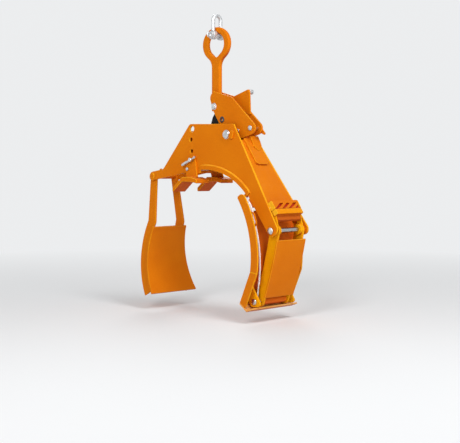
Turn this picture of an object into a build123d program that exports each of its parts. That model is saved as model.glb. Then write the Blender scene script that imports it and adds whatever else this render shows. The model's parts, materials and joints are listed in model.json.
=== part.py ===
from build123d import *
import math
import os

os.makedirs("parts", exist_ok=True)

# Concrete pipe grab, in millimetres.
# The origin is the axis of the nominal pipe, half way along the grab.
# X runs across the pipe towards the moving arm, Y along the pipe, Z up.

# Fits
running_gap = 0.05
side_gap = 0.4

# Pipe and arch plate
pipe_radius = 380.0
arch_gap = 73.0
arch_thickness = 24.0
arch_proud = 6.0
arch_foot_angle = 45.5
arch_crown_angle = 94.0

# Side plates of the frame
plate_thickness = 10.0
splay_angle = 6.73
frame_half_width = 120.0
crown_x = 180.0
crown_z = 684.0
top_left_x = -142.0
top_left_z = 694.0
top_left_radius = 20.0
shoulder_x = -320.0
shoulder_z = 457.0
tail_x = -402.0
tail_z = 420.0
tail_radius = 24.0
belly_left_x = -160.0
belly_z = 435.0
leg_end_x = 497.0
leg_end_z = 162.0
leg_end_radius = 31.0

# Setting holes, on an arc round the pivot of the suspension lever
hole_arc_radius = 262.0
setting_hole_turn = 208.9
middle_hole_turn = 198.0
high_hole_turn = 184.4
top_hole_turn = 172.4
setting_pin_radius = 11.0
top_hole_radius = 16.0
pin_stand = 20.0
pin_back = 4.0
handle_radius = 5.5
handle_angle = 23.3
handle_reach = 70.0
handle_length = 108.0
handle_stand = 10.0
shoulder_radius = 30.0
crown_radius = 8.0

# Pivot of the suspension lever and lower pin of the leg
pivot_x = 139.0
pivot_z = 631.0
pivot_pin_radius = 15.0
pivot_head_radius = 20.0
lower_pin_x = 491.0
lower_pin_z = 158.0
lower_pin_radius = 11.0
lower_head_radius = 17.0
collar_wall = 10.0

# Cover of the leg, guide plate and lever stop
cover_thickness = 8.0
cover_start = 98.0
cover_lap = 2.0
guide_thickness = 12.0
guide_half_width = 46.0
guide_start = 96.0
guide_length = 156.0
guide_corner = 22.0
stop_near_y = -13.0
stop_width = 59.0
stop_length = 84.0
stop_rise = 15.0

# Suspension lever
cheek_outer = 30.0
cheek_thickness = 10.0
pivot_boss_radius = 40.0
corner_x = 270.0
corner_z = 661.0
corner_boss_radius = 32.0
corner_pin_radius = 9.0
lever_top_x = 133.0
lever_top_z = 811.0
lever_left_x = 8.0
lever_left_top_z = 846.0
lever_left_low_z = 776.0
lever_corner_radius = 12.0
upper_bolt_x = 14.0
upper_bolt_z = 780.0
lower_bolt_x = 72.0
lower_bolt_z = 710.0
bolt_radius = 10.0
ear_thickness = 8.0
ear_tip_x = 213.0
ear_tip_z = 847.0
ear_tip_radius = 12.0
ear_low_x = 222.0
ear_low_z = 738.0
ear_near_x = 103.0
ear_near_z = 817.0
ear_bolt_radius = 7.0
bolt_recess = 6.0
buffer_half_width = 18.0

# Lifting bar and shackle
eye_x = 5.0
eye_z = 1102.0
eye_inner_radius = 57.0
eye_low_radius = 24.0
eye_low_drop = 42.0
eye_half_width = 97.0
eye_half_height = 88.0
eye_thickness = 24.0
eye_rounding = 9.0
shank_width = 61.0
neck_radius = 60.0
shackle_pin_radius = 11.0
shackle_wire_radius = 10.0
shackle_half_width = 27.0
shackle_height = 112.0
shackle_boss_radius = 23.0
shackle_boss_width = 23.0

# Push rod in the leg
drive_radius = 44.0
drive_swing = 25.0
drive_pin_radius = 11.0
rod_half_width = 17.0
rod_thickness = 18.0
rod_head_radius = 22.0
rod_reach = 524.0
foot_bar_height = 46.0
foot_bar_half_length = 93.0
foot_block_inset = 5.0
foot_block_clear = 2.0
foot_bar_lift = 0.5
bar_front = 27.0
notch_depth = 28.0
notch_width = 18.0
notch_slant = 34.0
notch_pitch = 42.0
notch_count = 4
heel_bar_height = 29.0
heel_bar_half_length = 93.0
heel_step_height = 24.0
heel_step_front = 8.0

# Arm
arm_side_clear = 14.0
arm_plate_thickness = 10.0
arm_width = 58.0
arm_mid_x = 459.0
arm_mid_z = 15.0
arm_cover_lap = 11.0
arm_cover_thickness = 8.0
arm_cover_top = 40.0
arm_cover_bottom = 34.0
bush_radius = 26.0
bush_length = 14.0
shoe_pin_x = 392.0
shoe_pin_z = -193.0
shoe_pin_radius = 10.0
shoe_pin_head_radius = 16.0
cross_tube_radius = 20.0

# Shoe
shoe_radius = 504.0
shoe_face_x = 403.0
shoe_centre_z = 27.0
shoe_side_clear = 30.0
shoe_plate = 8.0
shoe_top_z = 318.0
shoe_bend_z = -43.0
web_depth = 45.0
toe_x = 327.0
toe_z = -205.0
lip_x = 374.0
lip_z = -241.0
lip_turn_x = 412.0
lip_turn_z = -227.0
notch_edge = 14.0
notch_z = 252.0
lug_thickness = 12.0
lug_clear = 13.0
lug_radius = 28.0
lug_root_high = 78.0
lug_root_low = 150.0

# Tether rope and its fittings
rope_radius = 5.0
rope_eye_clear = 2.5
rope_run_out = 14.0
rope_lug_angle = 47.6
rope_lug_inset = 14.4
rope_lug_radius = 11.0
rope_lug_drop = 26.0
rope_bend = 45.0
rope_end_sink = 14.3
rope_end_radius = 6.2
rope_eye_radius = 20.0
rope_eye_width = 13.0
rope_side_clear = 11.0
rope_turn_gap = 2.0
rope_turn_angle = 41.9
rope_high_stand = 9.0
rope_high_angle = 26.6
rope_staple_stand = 8.5
rope_staple_angle = 19.6
rope_mid_stand = 10.5
rope_mid_angle = 9.1
rope_low_stand = 12.0
rope_low_angle = 0.0
rope_end_stand = 8.6
rope_end_angle = -15.0
rope_straight = 26.0
staple_wire = 4.5
staple_low_angle = 16.4
staple_high_angle = 24.6
staple_height = 36.0
staple_offset = 12.0

# Support foot
foot_plate_thickness = 10.0
foot_top_z = 415.0
foot_flat_left = -120.0
foot_flat_right = -54.0
foot_plate_right = -44.5
foot_left_x = -192.0
foot_left_drop = 58.0
foot_right_x = -9.0
foot_right_drop = 12.0
saddle_thickness = 24.0
saddle_outer_y = 136.0
saddle_inner_y = 46.0
foot_bolt_x = -116.0
foot_bolt_z = 457.0
foot_bolt_radius = 8.0

# Left jaw and back plate
jaw_pad_gap = 4.0
jaw_pad_thickness = 10.0
jaw_web_depth = 58.0
jaw_web_thickness = 10.0
jaw_pad_top_angle = 158.0
jaw_pad_toe_angle = 213.0
jaw_knee_angle = 156.0
tail_tube_radius = 16.0
back_plate_thickness = 8.0
back_plate_inset = 14.0

# Derived values
splay = math.tan(math.radians(splay_angle))
arch_inner = pipe_radius + arch_gap
arch_outer = arch_inner + arch_thickness
cheek_gap = cheek_outer - cheek_thickness
reach = 3 * pipe_radius
rod_travel = 2 * drive_radius * math.sin(math.radians(drive_swing / 2))
foot_bar_top = rod_reach - foot_bar_height
cover_end = foot_bar_top + cover_lap
foot_block_top = cover_end + rod_travel + foot_block_clear
arm_half_width = frame_half_width - plate_thickness - arm_side_clear
arm_cover_half_width = arm_half_width + arm_cover_lap
lug_inner_y = arm_cover_half_width + lug_clear
rope_y = -(lug_inner_y - rope_eye_clear - rope_eye_width / 2)
rope_run_y = -(lug_inner_y + rope_run_out)
shoe_half_width = lug_inner_y + lug_thickness + shoe_side_clear + shoe_plate
notch_half_width = shoe_half_width - shoe_plate - notch_edge
staple_y = rope_run_y - staple_offset
shoe_centre_x = shoe_face_x - shoe_radius


def half_width(z):
    """Half the outer width of the splayed frame at height z."""
    return frame_half_width - (z - lower_pin_z) * splay


def at_y(y):
    """Sketch plane across the pipe at y; extruding from it runs towards -Y."""
    return Plane.XZ.offset(-y)


def polar(radius, angle):
    """Point at a radius and an angle round the pipe axis."""
    turn = math.radians(angle)
    return (radius * math.cos(turn), radius * math.sin(turn))


def moved(point, direction, distance):
    """Point moved along a direction."""
    return (point[0] + direction[0] * distance, point[1] + direction[1] * distance)


def unit(start, end):
    """Unit direction from one point to another."""
    length = math.hypot(end[0] - start[0], end[1] - start[1])
    return ((end[0] - start[0]) / length, (end[1] - start[1]) / length)


def tangent(point, centre, radius, side):
    """Point where a line from outside touches a circle, on the chosen side."""
    span = math.hypot(centre[0] - point[0], centre[1] - point[1])
    heading = math.atan2(centre[1] - point[1], centre[0] - point[0])
    turn = heading + side * math.asin(radius / span)
    length = math.sqrt(span * span - radius * radius)
    return (point[0] + length * math.cos(turn), point[1] + length * math.sin(turn))


def round_pivot(angle):
    """Point on the arc of setting holes at an angle round the pivot of the lever."""
    turn = math.radians(angle)
    return (pivot_x + hole_arc_radius * math.cos(turn), pivot_z + hole_arc_radius * math.sin(turn))


def crossing(start_a, way_a, start_b, way_b):
    """Point where two lines meet."""
    cross = way_a[0] * way_b[1] - way_a[1] * way_b[0]
    gap_x = start_b[0] - start_a[0]
    gap_z = start_b[1] - start_a[1]
    along = (gap_x * way_b[1] - gap_z * way_b[0]) / cross
    return moved(start_a, way_a, along)


def band(outer_depth, inner_depth):
    """Section across the frame of a band that leans with the front side plate."""
    low = -400.0
    high = 900.0
    with BuildSketch(Plane.YZ) as section:
        Polygon(
            (-half_width(low) + outer_depth, low),
            (-half_width(low) + inner_depth, low),
            (-half_width(high) + inner_depth, high),
            (-half_width(high) + outer_depth, high),
            align=None,
        )
    return section.sketch


def wedge(depth):
    """Section across the frame of the whole space between two leaning faces."""
    low = -400.0
    high = 900.0
    with BuildSketch(Plane.YZ) as section:
        Polygon(
            (-half_width(low) + depth, low),
            (half_width(low) - depth, low),
            (half_width(high) - depth, high),
            (-half_width(high) + depth, high),
            align=None,
        )
    return section.sketch


def ring_sector(centre, inner, outer, start, end):
    """Part of a flat ring across the pipe, between two angles."""
    with BuildSketch(Plane.XZ) as sector:
        with BuildLine():
            inside = CenterArc(centre, inner, start, end - start)
            outside = CenterArc(centre, outer, start, end - start)
            Line(inside @ 0, outside @ 0)
            Line(inside @ 1, outside @ 1)
        make_face()
    return sector.sketch


def hull_of(circles):
    """Convex outline round a set of circles, each given as x, z and radius."""
    with BuildSketch(Plane.XZ) as outline:
        for x, z, radius in circles:
            with Locations((x, z)):
                Circle(radius)
        make_hull()
    return outline.sketch


# Key points of the frame
pivot = (pivot_x, pivot_z)
lower_pin_at = (lower_pin_x, lower_pin_z)
shoe_pin_at = (shoe_pin_x, shoe_pin_z)
corner = (corner_x, corner_z)
crown = (crown_x, crown_z)
leg_end = (leg_end_x, leg_end_z)
tail = (tail_x, tail_z)
shoulder = (shoulder_x, shoulder_z)
belly = (belly_left_x, belly_z)
setting_hole = round_pivot(setting_hole_turn)
leg_outer_end = tangent(crown, leg_end, leg_end_radius, 1)
leg_way = unit(crown, leg_outer_end)
leg_out = (-leg_way[1], leg_way[0])


def leg(along, out):
    """Point on the leg: along its outer edge from the crown, and out from that edge."""
    return moved(moved(crown, leg_way, along), leg_out, out)


# Side plates: flat plates that lean together at the top, each with a tail, a crown and a leg
arch_foot = polar(arch_outer, arch_foot_angle)
leg_inner_start = polar(arch_inner + 2.0, arch_foot_angle)
arch_crown = polar(arch_outer, arch_crown_angle)
leg_inner_end = tangent(leg_inner_start, leg_end, leg_end_radius, -1)
tail_low = tangent(belly, tail, tail_radius, 1)
tail_high = tangent(shoulder, tail, tail_radius, -1)
tail_tip = moved(tail, unit(shoulder, tail), tail_radius)
leg_tip = moved(leg_end, leg_way, leg_end_radius)
with BuildPart() as side_plate_front:
    with BuildSketch(Plane.XZ) as side_outline:
        with BuildLine():
            ThreePointArc(arch_foot, polar(arch_outer, 70.0), arch_crown)
            Polyline(arch_crown, (arch_crown[0], belly_z), belly, tail_low)
            ThreePointArc(tail_low, tail_tip, tail_high)
            Polyline(tail_high, shoulder, (top_left_x, top_left_z), crown, leg_outer_end)
            ThreePointArc(leg_outer_end, leg_tip, leg_inner_end)
            Polyline(leg_inner_end, leg_inner_start, arch_foot)
        make_face()
        fillet(side_outline.vertices().sort_by_distance((top_left_x, top_left_z))[:1], top_left_radius)
        fillet(side_outline.vertices().sort_by_distance(crown)[:1], crown_radius)
        fillet(side_outline.vertices().sort_by_distance(shoulder)[:1], shoulder_radius)
        with Locations(pivot):
            Circle(pivot_pin_radius + running_gap, mode=Mode.SUBTRACT)
        with Locations(lower_pin_at):
            Circle(lower_pin_radius + running_gap, mode=Mode.SUBTRACT)
        with Locations((foot_bolt_x, foot_bolt_z)):
            Circle(foot_bolt_radius + running_gap, mode=Mode.SUBTRACT)
        with Locations(tail):
            Circle(tail_tube_radius + running_gap, mode=Mode.SUBTRACT)
        with Locations(setting_hole, round_pivot(middle_hole_turn), round_pivot(high_hole_turn)):
            Circle(setting_pin_radius + running_gap, mode=Mode.SUBTRACT)
        with Locations(round_pivot(top_hole_turn)):
            Circle(top_hole_radius, mode=Mode.SUBTRACT)
    extrude(amount=300.0)
    extrude(band(0.0, plate_thickness), amount=reach, both=True, mode=Mode.INTERSECT)
with BuildPart() as side_plate_rear:
    mirror(side_plate_front.part, about=Plane.XZ)

# Arch plate: the thick curved plate under both side plates, a little proud of them
with BuildPart() as arch_plate:
    arch_ring = ring_sector((0, 0), arch_inner, arch_outer, arch_foot_angle, arch_crown_angle)
    extrude(arch_ring, amount=200.0, both=True)
    extrude(wedge(-arch_proud), amount=reach, both=True, mode=Mode.INTERSECT)

# Outer cover: flat plate between the legs, level with their outer edges
with BuildPart() as outer_cover:
    with BuildSketch(Plane.XZ):
        Polygon(
            leg(cover_start, 0.0),
            leg(cover_end, 0.0),
            leg(cover_end, -cover_thickness),
            leg(cover_start, -cover_thickness),
            align=None,
        )
    extrude(amount=200.0, both=True)
    extrude(wedge(plate_thickness), amount=reach, both=True, mode=Mode.INTERSECT)

# Guide plate: raised plate on the upper half of the cover, with rounded lower corners
guide_origin = leg(guide_start, 0.0)
guide_plane = Plane(
    origin=(guide_origin[0], 0, guide_origin[1]),
    x_dir=(0, 1, 0),
    z_dir=(leg_out[0], 0, leg_out[1]),
)
with BuildPart() as guide_plate:
    with BuildSketch(guide_plane) as guide_face:
        with Locations((0, -guide_length / 2)):
            Rectangle(2 * guide_half_width, guide_length)
        fillet(guide_face.vertices().group_by(Axis.Y)[0], guide_corner)
    extrude(amount=guide_thickness)

# Lever stop: tapered strap on the guide plate that the rear cheek of the lever comes to rest on
boss_way = unit(pivot, corner)
boss_span = math.hypot(corner_x - pivot_x, corner_z - pivot_z)
boss_lean = math.asin((pivot_boss_radius - corner_boss_radius) / boss_span)
edge_turn = math.atan2(boss_way[1], boss_way[0]) + boss_lean
edge_way = (math.cos(edge_turn), math.sin(edge_turn))
edge_down = (edge_way[1], -edge_way[0])
edge_point = moved(pivot, edge_down, pivot_boss_radius + 0.3)
stop_base = crossing(edge_point, edge_way, leg(0.0, guide_thickness), leg_way)
stop_top = crossing(edge_point, edge_way, leg(0.0, guide_thickness + stop_rise), leg_way)
guide_top = leg(0.0, guide_thickness)
stop_start = math.hypot(stop_base[0] - guide_top[0], stop_base[1] - guide_top[1])
with BuildPart() as lever_stop:
    with BuildSketch(at_y(stop_near_y + stop_width)):
        Polygon(
            stop_base,
            stop_top,
            leg(stop_start + 0.45 * stop_length, guide_thickness + 0.8 * stop_rise),
            leg(stop_start + stop_length, guide_thickness + 3.0),
            leg(stop_start + stop_length, guide_thickness),
            align=None,
        )
    extrude(amount=stop_width)
    tip_edges = lever_stop.edges().filter_by(lambda e: e.length < 4.0)
    chamfer(tip_edges, stop_width * 0.4)

# Back plate: closes the frame between the side plates under their sloping back edge
back_way = unit(shoulder, (top_left_x, top_left_z))
back_in = (back_way[1], -back_way[0])
back_low = moved(moved(shoulder, back_way, 12.0), back_in, back_plate_inset)
back_high = moved(moved((top_left_x, top_left_z), back_way, -34.0), back_in, back_plate_inset)
with BuildPart() as back_plate:
    with BuildSketch(Plane.XZ):
        Polygon(
            back_low,
            back_high,
            moved(back_high, back_in, back_plate_thickness),
            moved(back_low, back_in, back_plate_thickness),
            align=None,
        )
    extrude(amount=200.0, both=True)
    extrude(wedge(plate_thickness), amount=reach, both=True, mode=Mode.INTERSECT)

# Tail tube: round cross member between the tails
with BuildPart(at_y(half_width(tail_z) + 3.0)) as tail_tube:
    with Locations(tail):
        Cylinder(
            tail_tube_radius,
            2 * (half_width(tail_z) + 3.0),
            align=(Align.CENTER, Align.CENTER, Align.MIN),
        )
    chamfer(tail_tube.edges(), 2.0)

# Left jaw: two webs hanging inside the tails and the curved pad that holds the pipe's far side
jaw_inner = pipe_radius + jaw_pad_gap
jaw_back = jaw_inner + jaw_pad_thickness
jaw_edge = jaw_back + jaw_web_depth
jaw_knee = polar((jaw_back + jaw_edge) / 2, jaw_knee_angle)
with BuildPart() as jaw_web_front:
    jaw_hanger = hull_of(
        [(tail_x, tail_z, tail_radius), (jaw_knee[0], jaw_knee[1], jaw_web_depth / 2)]
    )
    extrude(jaw_hanger, amount=300.0)
    extrude(ring_sector((0, 0), jaw_back, jaw_edge, jaw_knee_angle, jaw_pad_toe_angle - 3.0), amount=300.0)
    with BuildSketch(Plane.XZ):
        with Locations(tail):
            Circle(tail_tube_radius + running_gap)
    extrude(amount=300.0, mode=Mode.SUBTRACT)
    extrude(
        band(plate_thickness, plate_thickness + jaw_web_thickness),
        amount=reach,
        both=True,
        mode=Mode.INTERSECT,
    )
with BuildPart() as jaw_web_rear:
    mirror(jaw_web_front.part, about=Plane.XZ)
with BuildPart() as jaw_pad:
    extrude(
        ring_sector((0, 0), jaw_inner, jaw_back, jaw_pad_top_angle, jaw_pad_toe_angle),
        amount=300.0,
        both=True,
    )
    extrude(wedge(0.0), amount=reach, both=True, mode=Mode.INTERSECT)

# Pivot pin with its collars and keeper
pivot_front = half_width(pivot_z) + 5.0
with BuildPart(at_y(pivot_front)) as pivot_pin:
    with Locations(pivot):
        Cylinder(pivot_pin_radius, 2 * pivot_front, align=(Align.CENTER, Align.CENTER, Align.MIN))
    with Locations((pivot_x, pivot_z, 2 * pivot_front)):
        Cylinder(pivot_head_radius, 9.0, align=(Align.CENTER, Align.CENTER, Align.MIN))
    chamfer(pivot_pin.edges().group_by(Axis.Y)[0], 2.0)
with BuildPart() as pivot_collar_front:
    with BuildSketch(at_y(-(cheek_outer + side_gap))):
        with Locations(pivot):
            Circle(pivot_pin_radius + collar_wall)
            Circle(pivot_pin_radius + running_gap, mode=Mode.SUBTRACT)
    extrude(amount=100.0)
    extrude(wedge(plate_thickness), amount=reach, both=True, mode=Mode.INTERSECT)
with BuildPart() as pivot_collar_rear:
    mirror(pivot_collar_front.part, about=Plane.XZ)
with BuildPart() as pivot_keeper:
    with BuildSketch(Plane.XZ) as keeper_face:
        with Locations((pivot_x + pivot_head_radius + 16.0, pivot_z - 2.0)):
            Rectangle(26.0, 40.0, rotation=-12.0)
        fillet(keeper_face.vertices(), 5.0)
        with Locations(pivot):
            Circle(pivot_head_radius + 0.5, mode=Mode.SUBTRACT)
    extrude(amount=300.0)
    extrude(band(-9.0, 0.0), amount=reach, both=True, mode=Mode.INTERSECT)

# Lower pin of the leg and the collars that centre the arm on it
lower_front = frame_half_width + 3.0
with BuildPart(at_y(lower_front)) as lower_pin:
    with Locations(lower_pin_at):
        Cylinder(lower_pin_radius, 2 * lower_front, align=(Align.CENTER, Align.CENTER, Align.MIN))
    with Locations((lower_pin_x, lower_pin_z, 2 * lower_front)):
        Cylinder(lower_head_radius, 10.0, align=(Align.CENTER, Align.CENTER, Align.MIN))
    fillet(lower_pin.edges().group_by(Axis.Y)[0], 6.0)
with BuildPart() as lower_collar_front:
    with BuildSketch(at_y(-(arm_half_width + side_gap))):
        with Locations(lower_pin_at):
            Circle(lower_pin_radius + collar_wall)
            Circle(lower_pin_radius + running_gap, mode=Mode.SUBTRACT)
    extrude(amount=100.0)
    extrude(wedge(plate_thickness), amount=reach, both=True, mode=Mode.INTERSECT)
with BuildPart() as lower_collar_rear:
    mirror(lower_collar_front.part, about=Plane.XZ)

# Support foot: an upright plate on each side plate with a bent saddle pad that rests on the pipe
with BuildPart() as foot_plate_front:
    extrude(
        hull_of(
            [
                (setting_hole[0], setting_hole[1], setting_pin_radius + 11.0),
                (foot_bolt_x, foot_bolt_z, foot_bolt_radius + 12.0),
                (foot_flat_left - 4.0, foot_top_z + 2.0, 2.0),
                (foot_plate_right, foot_top_z + 2.0, 2.0),
            ]
        ),
        amount=300.0,
    )
    with BuildSketch(Plane.XZ):
        with Locations(setting_hole):
            Circle(setting_pin_radius + running_gap)
        with Locations((foot_bolt_x, foot_bolt_z)):
            Circle(foot_bolt_radius + running_gap)
    extrude(amount=300.0, mode=Mode.SUBTRACT)
    extrude(band(-foot_plate_thickness, 0.0), amount=reach, both=True, mode=Mode.INTERSECT)
with BuildPart() as foot_plate_rear:
    mirror(foot_plate_front.part, about=Plane.XZ)
with BuildPart() as foot_saddle_front:
    with BuildSketch(at_y(-saddle_inner_y)):
        Polygon(
            (foot_flat_left, foot_top_z),
            (foot_flat_right, foot_top_z),
            (foot_right_x, foot_top_z - foot_right_drop),
            (foot_right_x, foot_top_z - foot_right_drop - saddle_thickness + 3.0),
            (foot_flat_right, foot_top_z - saddle_thickness),
            (foot_flat_left, foot_top_z - saddle_thickness),
            (foot_left_x, foot_top_z - foot_left_drop - saddle_thickness),
            (foot_left_x, foot_top_z - foot_left_drop),
            align=None,
        )
    extrude(amount=saddle_outer_y - saddle_inner_y)
    fillet(foot_saddle_front.edges().group_by(Axis.X)[0].filter_by(Axis.Y), 4.0)
    fillet(foot_saddle_front.edges().group_by(Axis.X)[-1].filter_by(Axis.Y), 4.0)
with BuildPart() as foot_saddle_rear:
    mirror(foot_saddle_front.part, about=Plane.XZ)
foot_bolt_front = half_width(foot_bolt_z) + foot_plate_thickness
with BuildPart(at_y(foot_bolt_front + 8.0)) as foot_bolt:
    with Locations((foot_bolt_x, foot_bolt_z)):
        Cylinder(
            foot_bolt_radius,
            2 * foot_bolt_front + 10.0,
            align=(Align.CENTER, Align.CENTER, Align.MIN),
        )
    with Locations((foot_bolt_x, foot_bolt_z, 2 * foot_bolt_front + 10.0)):
        Cylinder(foot_bolt_radius + 5.0, 7.0, align=(Align.CENTER, Align.CENTER, Align.MIN))
    fillet(foot_bolt.edges().group_by(Axis.Y)[0], 3.0)

# Setting pin that fixes the height of the foot, with the cross handle through its head
setting_front = half_width(setting_hole[1]) + foot_plate_thickness
handle_y = -(setting_front + handle_stand)
handle_turn = math.radians(handle_angle)
handle_way = (math.cos(handle_turn), math.sin(handle_turn))
handle_low = moved(setting_hole, handle_way, -handle_reach)
handle_plane = Plane(origin=(handle_low[0], handle_y, handle_low[1]), z_dir=(handle_way[0], 0, handle_way[1]))
with BuildPart(at_y(setting_front + pin_back)) as setting_pin:
    with Locations(setting_hole):
        Cylinder(
            setting_pin_radius,
            2 * setting_front + pin_back + pin_stand,
            align=(Align.CENTER, Align.CENTER, Align.MIN),
        )
    fillet(setting_pin.edges().group_by(Axis.Y)[0], 3.0)
    with BuildSketch(handle_plane):
        Circle(handle_radius + running_gap)
    extrude(amount=handle_length, mode=Mode.SUBTRACT)
with BuildPart() as pin_handle:
    with BuildSketch(handle_plane):
        Circle(handle_radius)
    extrude(amount=handle_length)
    fillet(pin_handle.edges().filter_by(GeomType.CIRCLE), 2.5)

# Lug under the arch plate that the tether rope is fixed to
lug_low = polar(arch_inner - rope_lug_drop, rope_lug_angle)
lug_high = polar(arch_inner, rope_lug_angle)
rope_lug_y = -(half_width(lug_low[1]) - rope_lug_inset)
lug_way = unit(lug_low, lug_high)
with BuildPart() as rope_lug:
    lug_plane = Plane(origin=(lug_low[0], rope_lug_y, lug_low[1]), z_dir=(lug_way[0], 0, lug_way[1]))
    with BuildSketch(lug_plane):
        Circle(rope_lug_radius)
    extrude(amount=rope_lug_drop + 10.0)
    under_arch = ring_sector((0, 0), arch_inner - 2 * rope_lug_drop, arch_inner, 30.0, 60.0)
    extrude(under_arch, amount=200.0, both=True, mode=Mode.INTERSECT)

# Suspension lever: two cheek plates round the foot of the lifting bar
cheek_outline = hull_of(
    [
        (pivot_x, pivot_z, pivot_boss_radius),
        (corner_x, corner_z, corner_boss_radius),
        (lever_top_x, lever_top_z, lever_corner_radius),
        (lever_left_x, lever_left_top_z, lever_corner_radius),
        (lever_left_x, lever_left_low_z, lever_corner_radius),
    ]
)
drive_turn = math.atan2(leg_out[1], leg_out[0]) - math.radians(drive_swing / 2)
drive = (pivot_x + drive_radius * math.cos(drive_turn), pivot_z + drive_radius * math.sin(drive_turn))
with BuildPart() as lever_cheek_front:
    extrude(cheek_outline, amount=cheek_outer)
    with BuildSketch(Plane.XZ):
        with Locations(pivot):
            Circle(pivot_pin_radius + running_gap)
        with Locations(drive):
            Circle(drive_pin_radius + running_gap)
        with Locations(corner):
            Circle(corner_pin_radius + running_gap)
        with Locations((upper_bolt_x, upper_bolt_z), (lower_bolt_x, lower_bolt_z)):
            Circle(bolt_radius + running_gap)
    extrude(amount=cheek_outer, mode=Mode.SUBTRACT)
    extrude(cheek_outline, amount=cheek_gap, mode=Mode.SUBTRACT)
with BuildPart() as lever_cheek_rear:
    mirror(lever_cheek_front.part, about=Plane.XZ)

# Bolts and pins of the lever
with BuildPart(at_y(cheek_outer + 9.0)) as lever_bolt_upper:
    with Locations((upper_bolt_x, upper_bolt_z)):
        Cylinder(bolt_radius, 2 * cheek_outer + 9.0, align=(Align.CENTER, Align.CENTER, Align.MIN))
    with Locations((upper_bolt_x, upper_bolt_z, 2 * cheek_outer + 9.0)):
        Cylinder(bolt_radius + 6.0, 8.0, align=(Align.CENTER, Align.CENTER, Align.MIN))
    chamfer(lever_bolt_upper.edges().group_by(Axis.Y)[0], 1.5)
with BuildPart(at_y(cheek_outer + 8.0)) as lever_bolt_lower:
    with Locations((lower_bolt_x, lower_bolt_z)):
        Cylinder(bolt_radius + 6.0, 8.0, align=(Align.CENTER, Align.CENTER, Align.MIN))
    with Locations((lower_bolt_x, lower_bolt_z, 8.0)):
        Cylinder(bolt_radius, 2 * cheek_outer - bolt_recess, align=(Align.CENTER, Align.CENTER, Align.MIN))
    chamfer(lever_bolt_lower.edges().group_by(Axis.Y)[0], 1.5)
with BuildPart(at_y(cheek_outer + 4.0)) as drive_pin:
    with Locations(drive):
        Cylinder(drive_pin_radius, 2 * cheek_outer + 4.0, align=(Align.CENTER, Align.CENTER, Align.MIN))
    with Locations((drive[0], drive[1], 2 * cheek_outer + 4.0)):
        Cylinder(drive_pin_radius + 4.0, 5.0, align=(Align.CENTER, Align.CENTER, Align.MIN))
with BuildPart(at_y(cheek_outer + ear_thickness + 6.0)) as corner_pin:
    with Locations(corner):
        Cylinder(
            corner_pin_radius,
            2 * cheek_outer + ear_thickness + 6.0,
            align=(Align.CENTER, Align.CENTER, Align.MIN),
        )
    with Locations((corner_x, corner_z, 2 * cheek_outer + ear_thickness + 6.0)):
        Cylinder(corner_pin_radius + 4.0, 7.0, align=(Align.CENTER, Align.CENTER, Align.MIN))
    fillet(corner_pin.edges().group_by(Axis.Y)[0], 3.0)

# Release ear against the inside of the rear cheek, with the bolt for the release line
with BuildPart() as release_ear:
    extrude(
        hull_of(
            [
                (ear_near_x, ear_near_z, 8.0),
                (ear_tip_x, ear_tip_z, ear_tip_radius),
                (ear_low_x, ear_low_z, 8.0),
            ]
        ),
        amount=-cheek_gap,
    )
    ear_hole = hull_of([(ear_tip_x, ear_tip_z, ear_bolt_radius + running_gap)])
    extrude(ear_hole, amount=-200.0, mode=Mode.SUBTRACT)
    with BuildSketch(Plane.YZ):
        Polygon(
            (-1.0, 600.0),
            (cheek_gap - ear_thickness, 600.0),
            (cheek_gap - ear_thickness, 1000.0),
            (-1.0, 1000.0),
            align=None,
        )
    extrude(amount=reach, both=True, mode=Mode.SUBTRACT)
ear_bolt_back = cheek_gap + 30.0
with BuildPart(at_y(ear_bolt_back)) as ear_bolt:
    with Locations((ear_tip_x, ear_tip_z)):
        Cylinder(ear_bolt_radius, 30.0 + ear_thickness + 1.0, align=(Align.CENTER, Align.CENTER, Align.MIN))
    with Locations((ear_tip_x, ear_tip_z, 4.0)):
        Cylinder(ear_bolt_radius + 5.0, 8.0, align=(Align.CENTER, Align.CENTER, Align.MIN))
    with Locations((ear_tip_x, ear_tip_z, 20.0)):
        Cylinder(ear_bolt_radius + 5.0, 10.0, align=(Align.CENTER, Align.CENTER, Align.MIN))

# Catch tab, free on the corner pin behind the rear cheek
with BuildPart() as catch_tab:
    extrude(hull_of([(corner_x, corner_z, 15.0), (corner_x + 37.0, corner_z - 27.0, 6.0)]), amount=-200.0)
    catch_hole = hull_of([(corner_x, corner_z, corner_pin_radius + running_gap)])
    extrude(catch_hole, amount=-200.0, mode=Mode.SUBTRACT)
    with BuildSketch(Plane.YZ):
        Polygon(
            (cheek_outer + side_gap, 0.0),
            (cheek_outer + ear_thickness, 0.0),
            (cheek_outer + ear_thickness, 1000.0),
            (cheek_outer + side_gap, 1000.0),
            align=None,
        )
    extrude(amount=reach, both=True, mode=Mode.INTERSECT)

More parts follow.
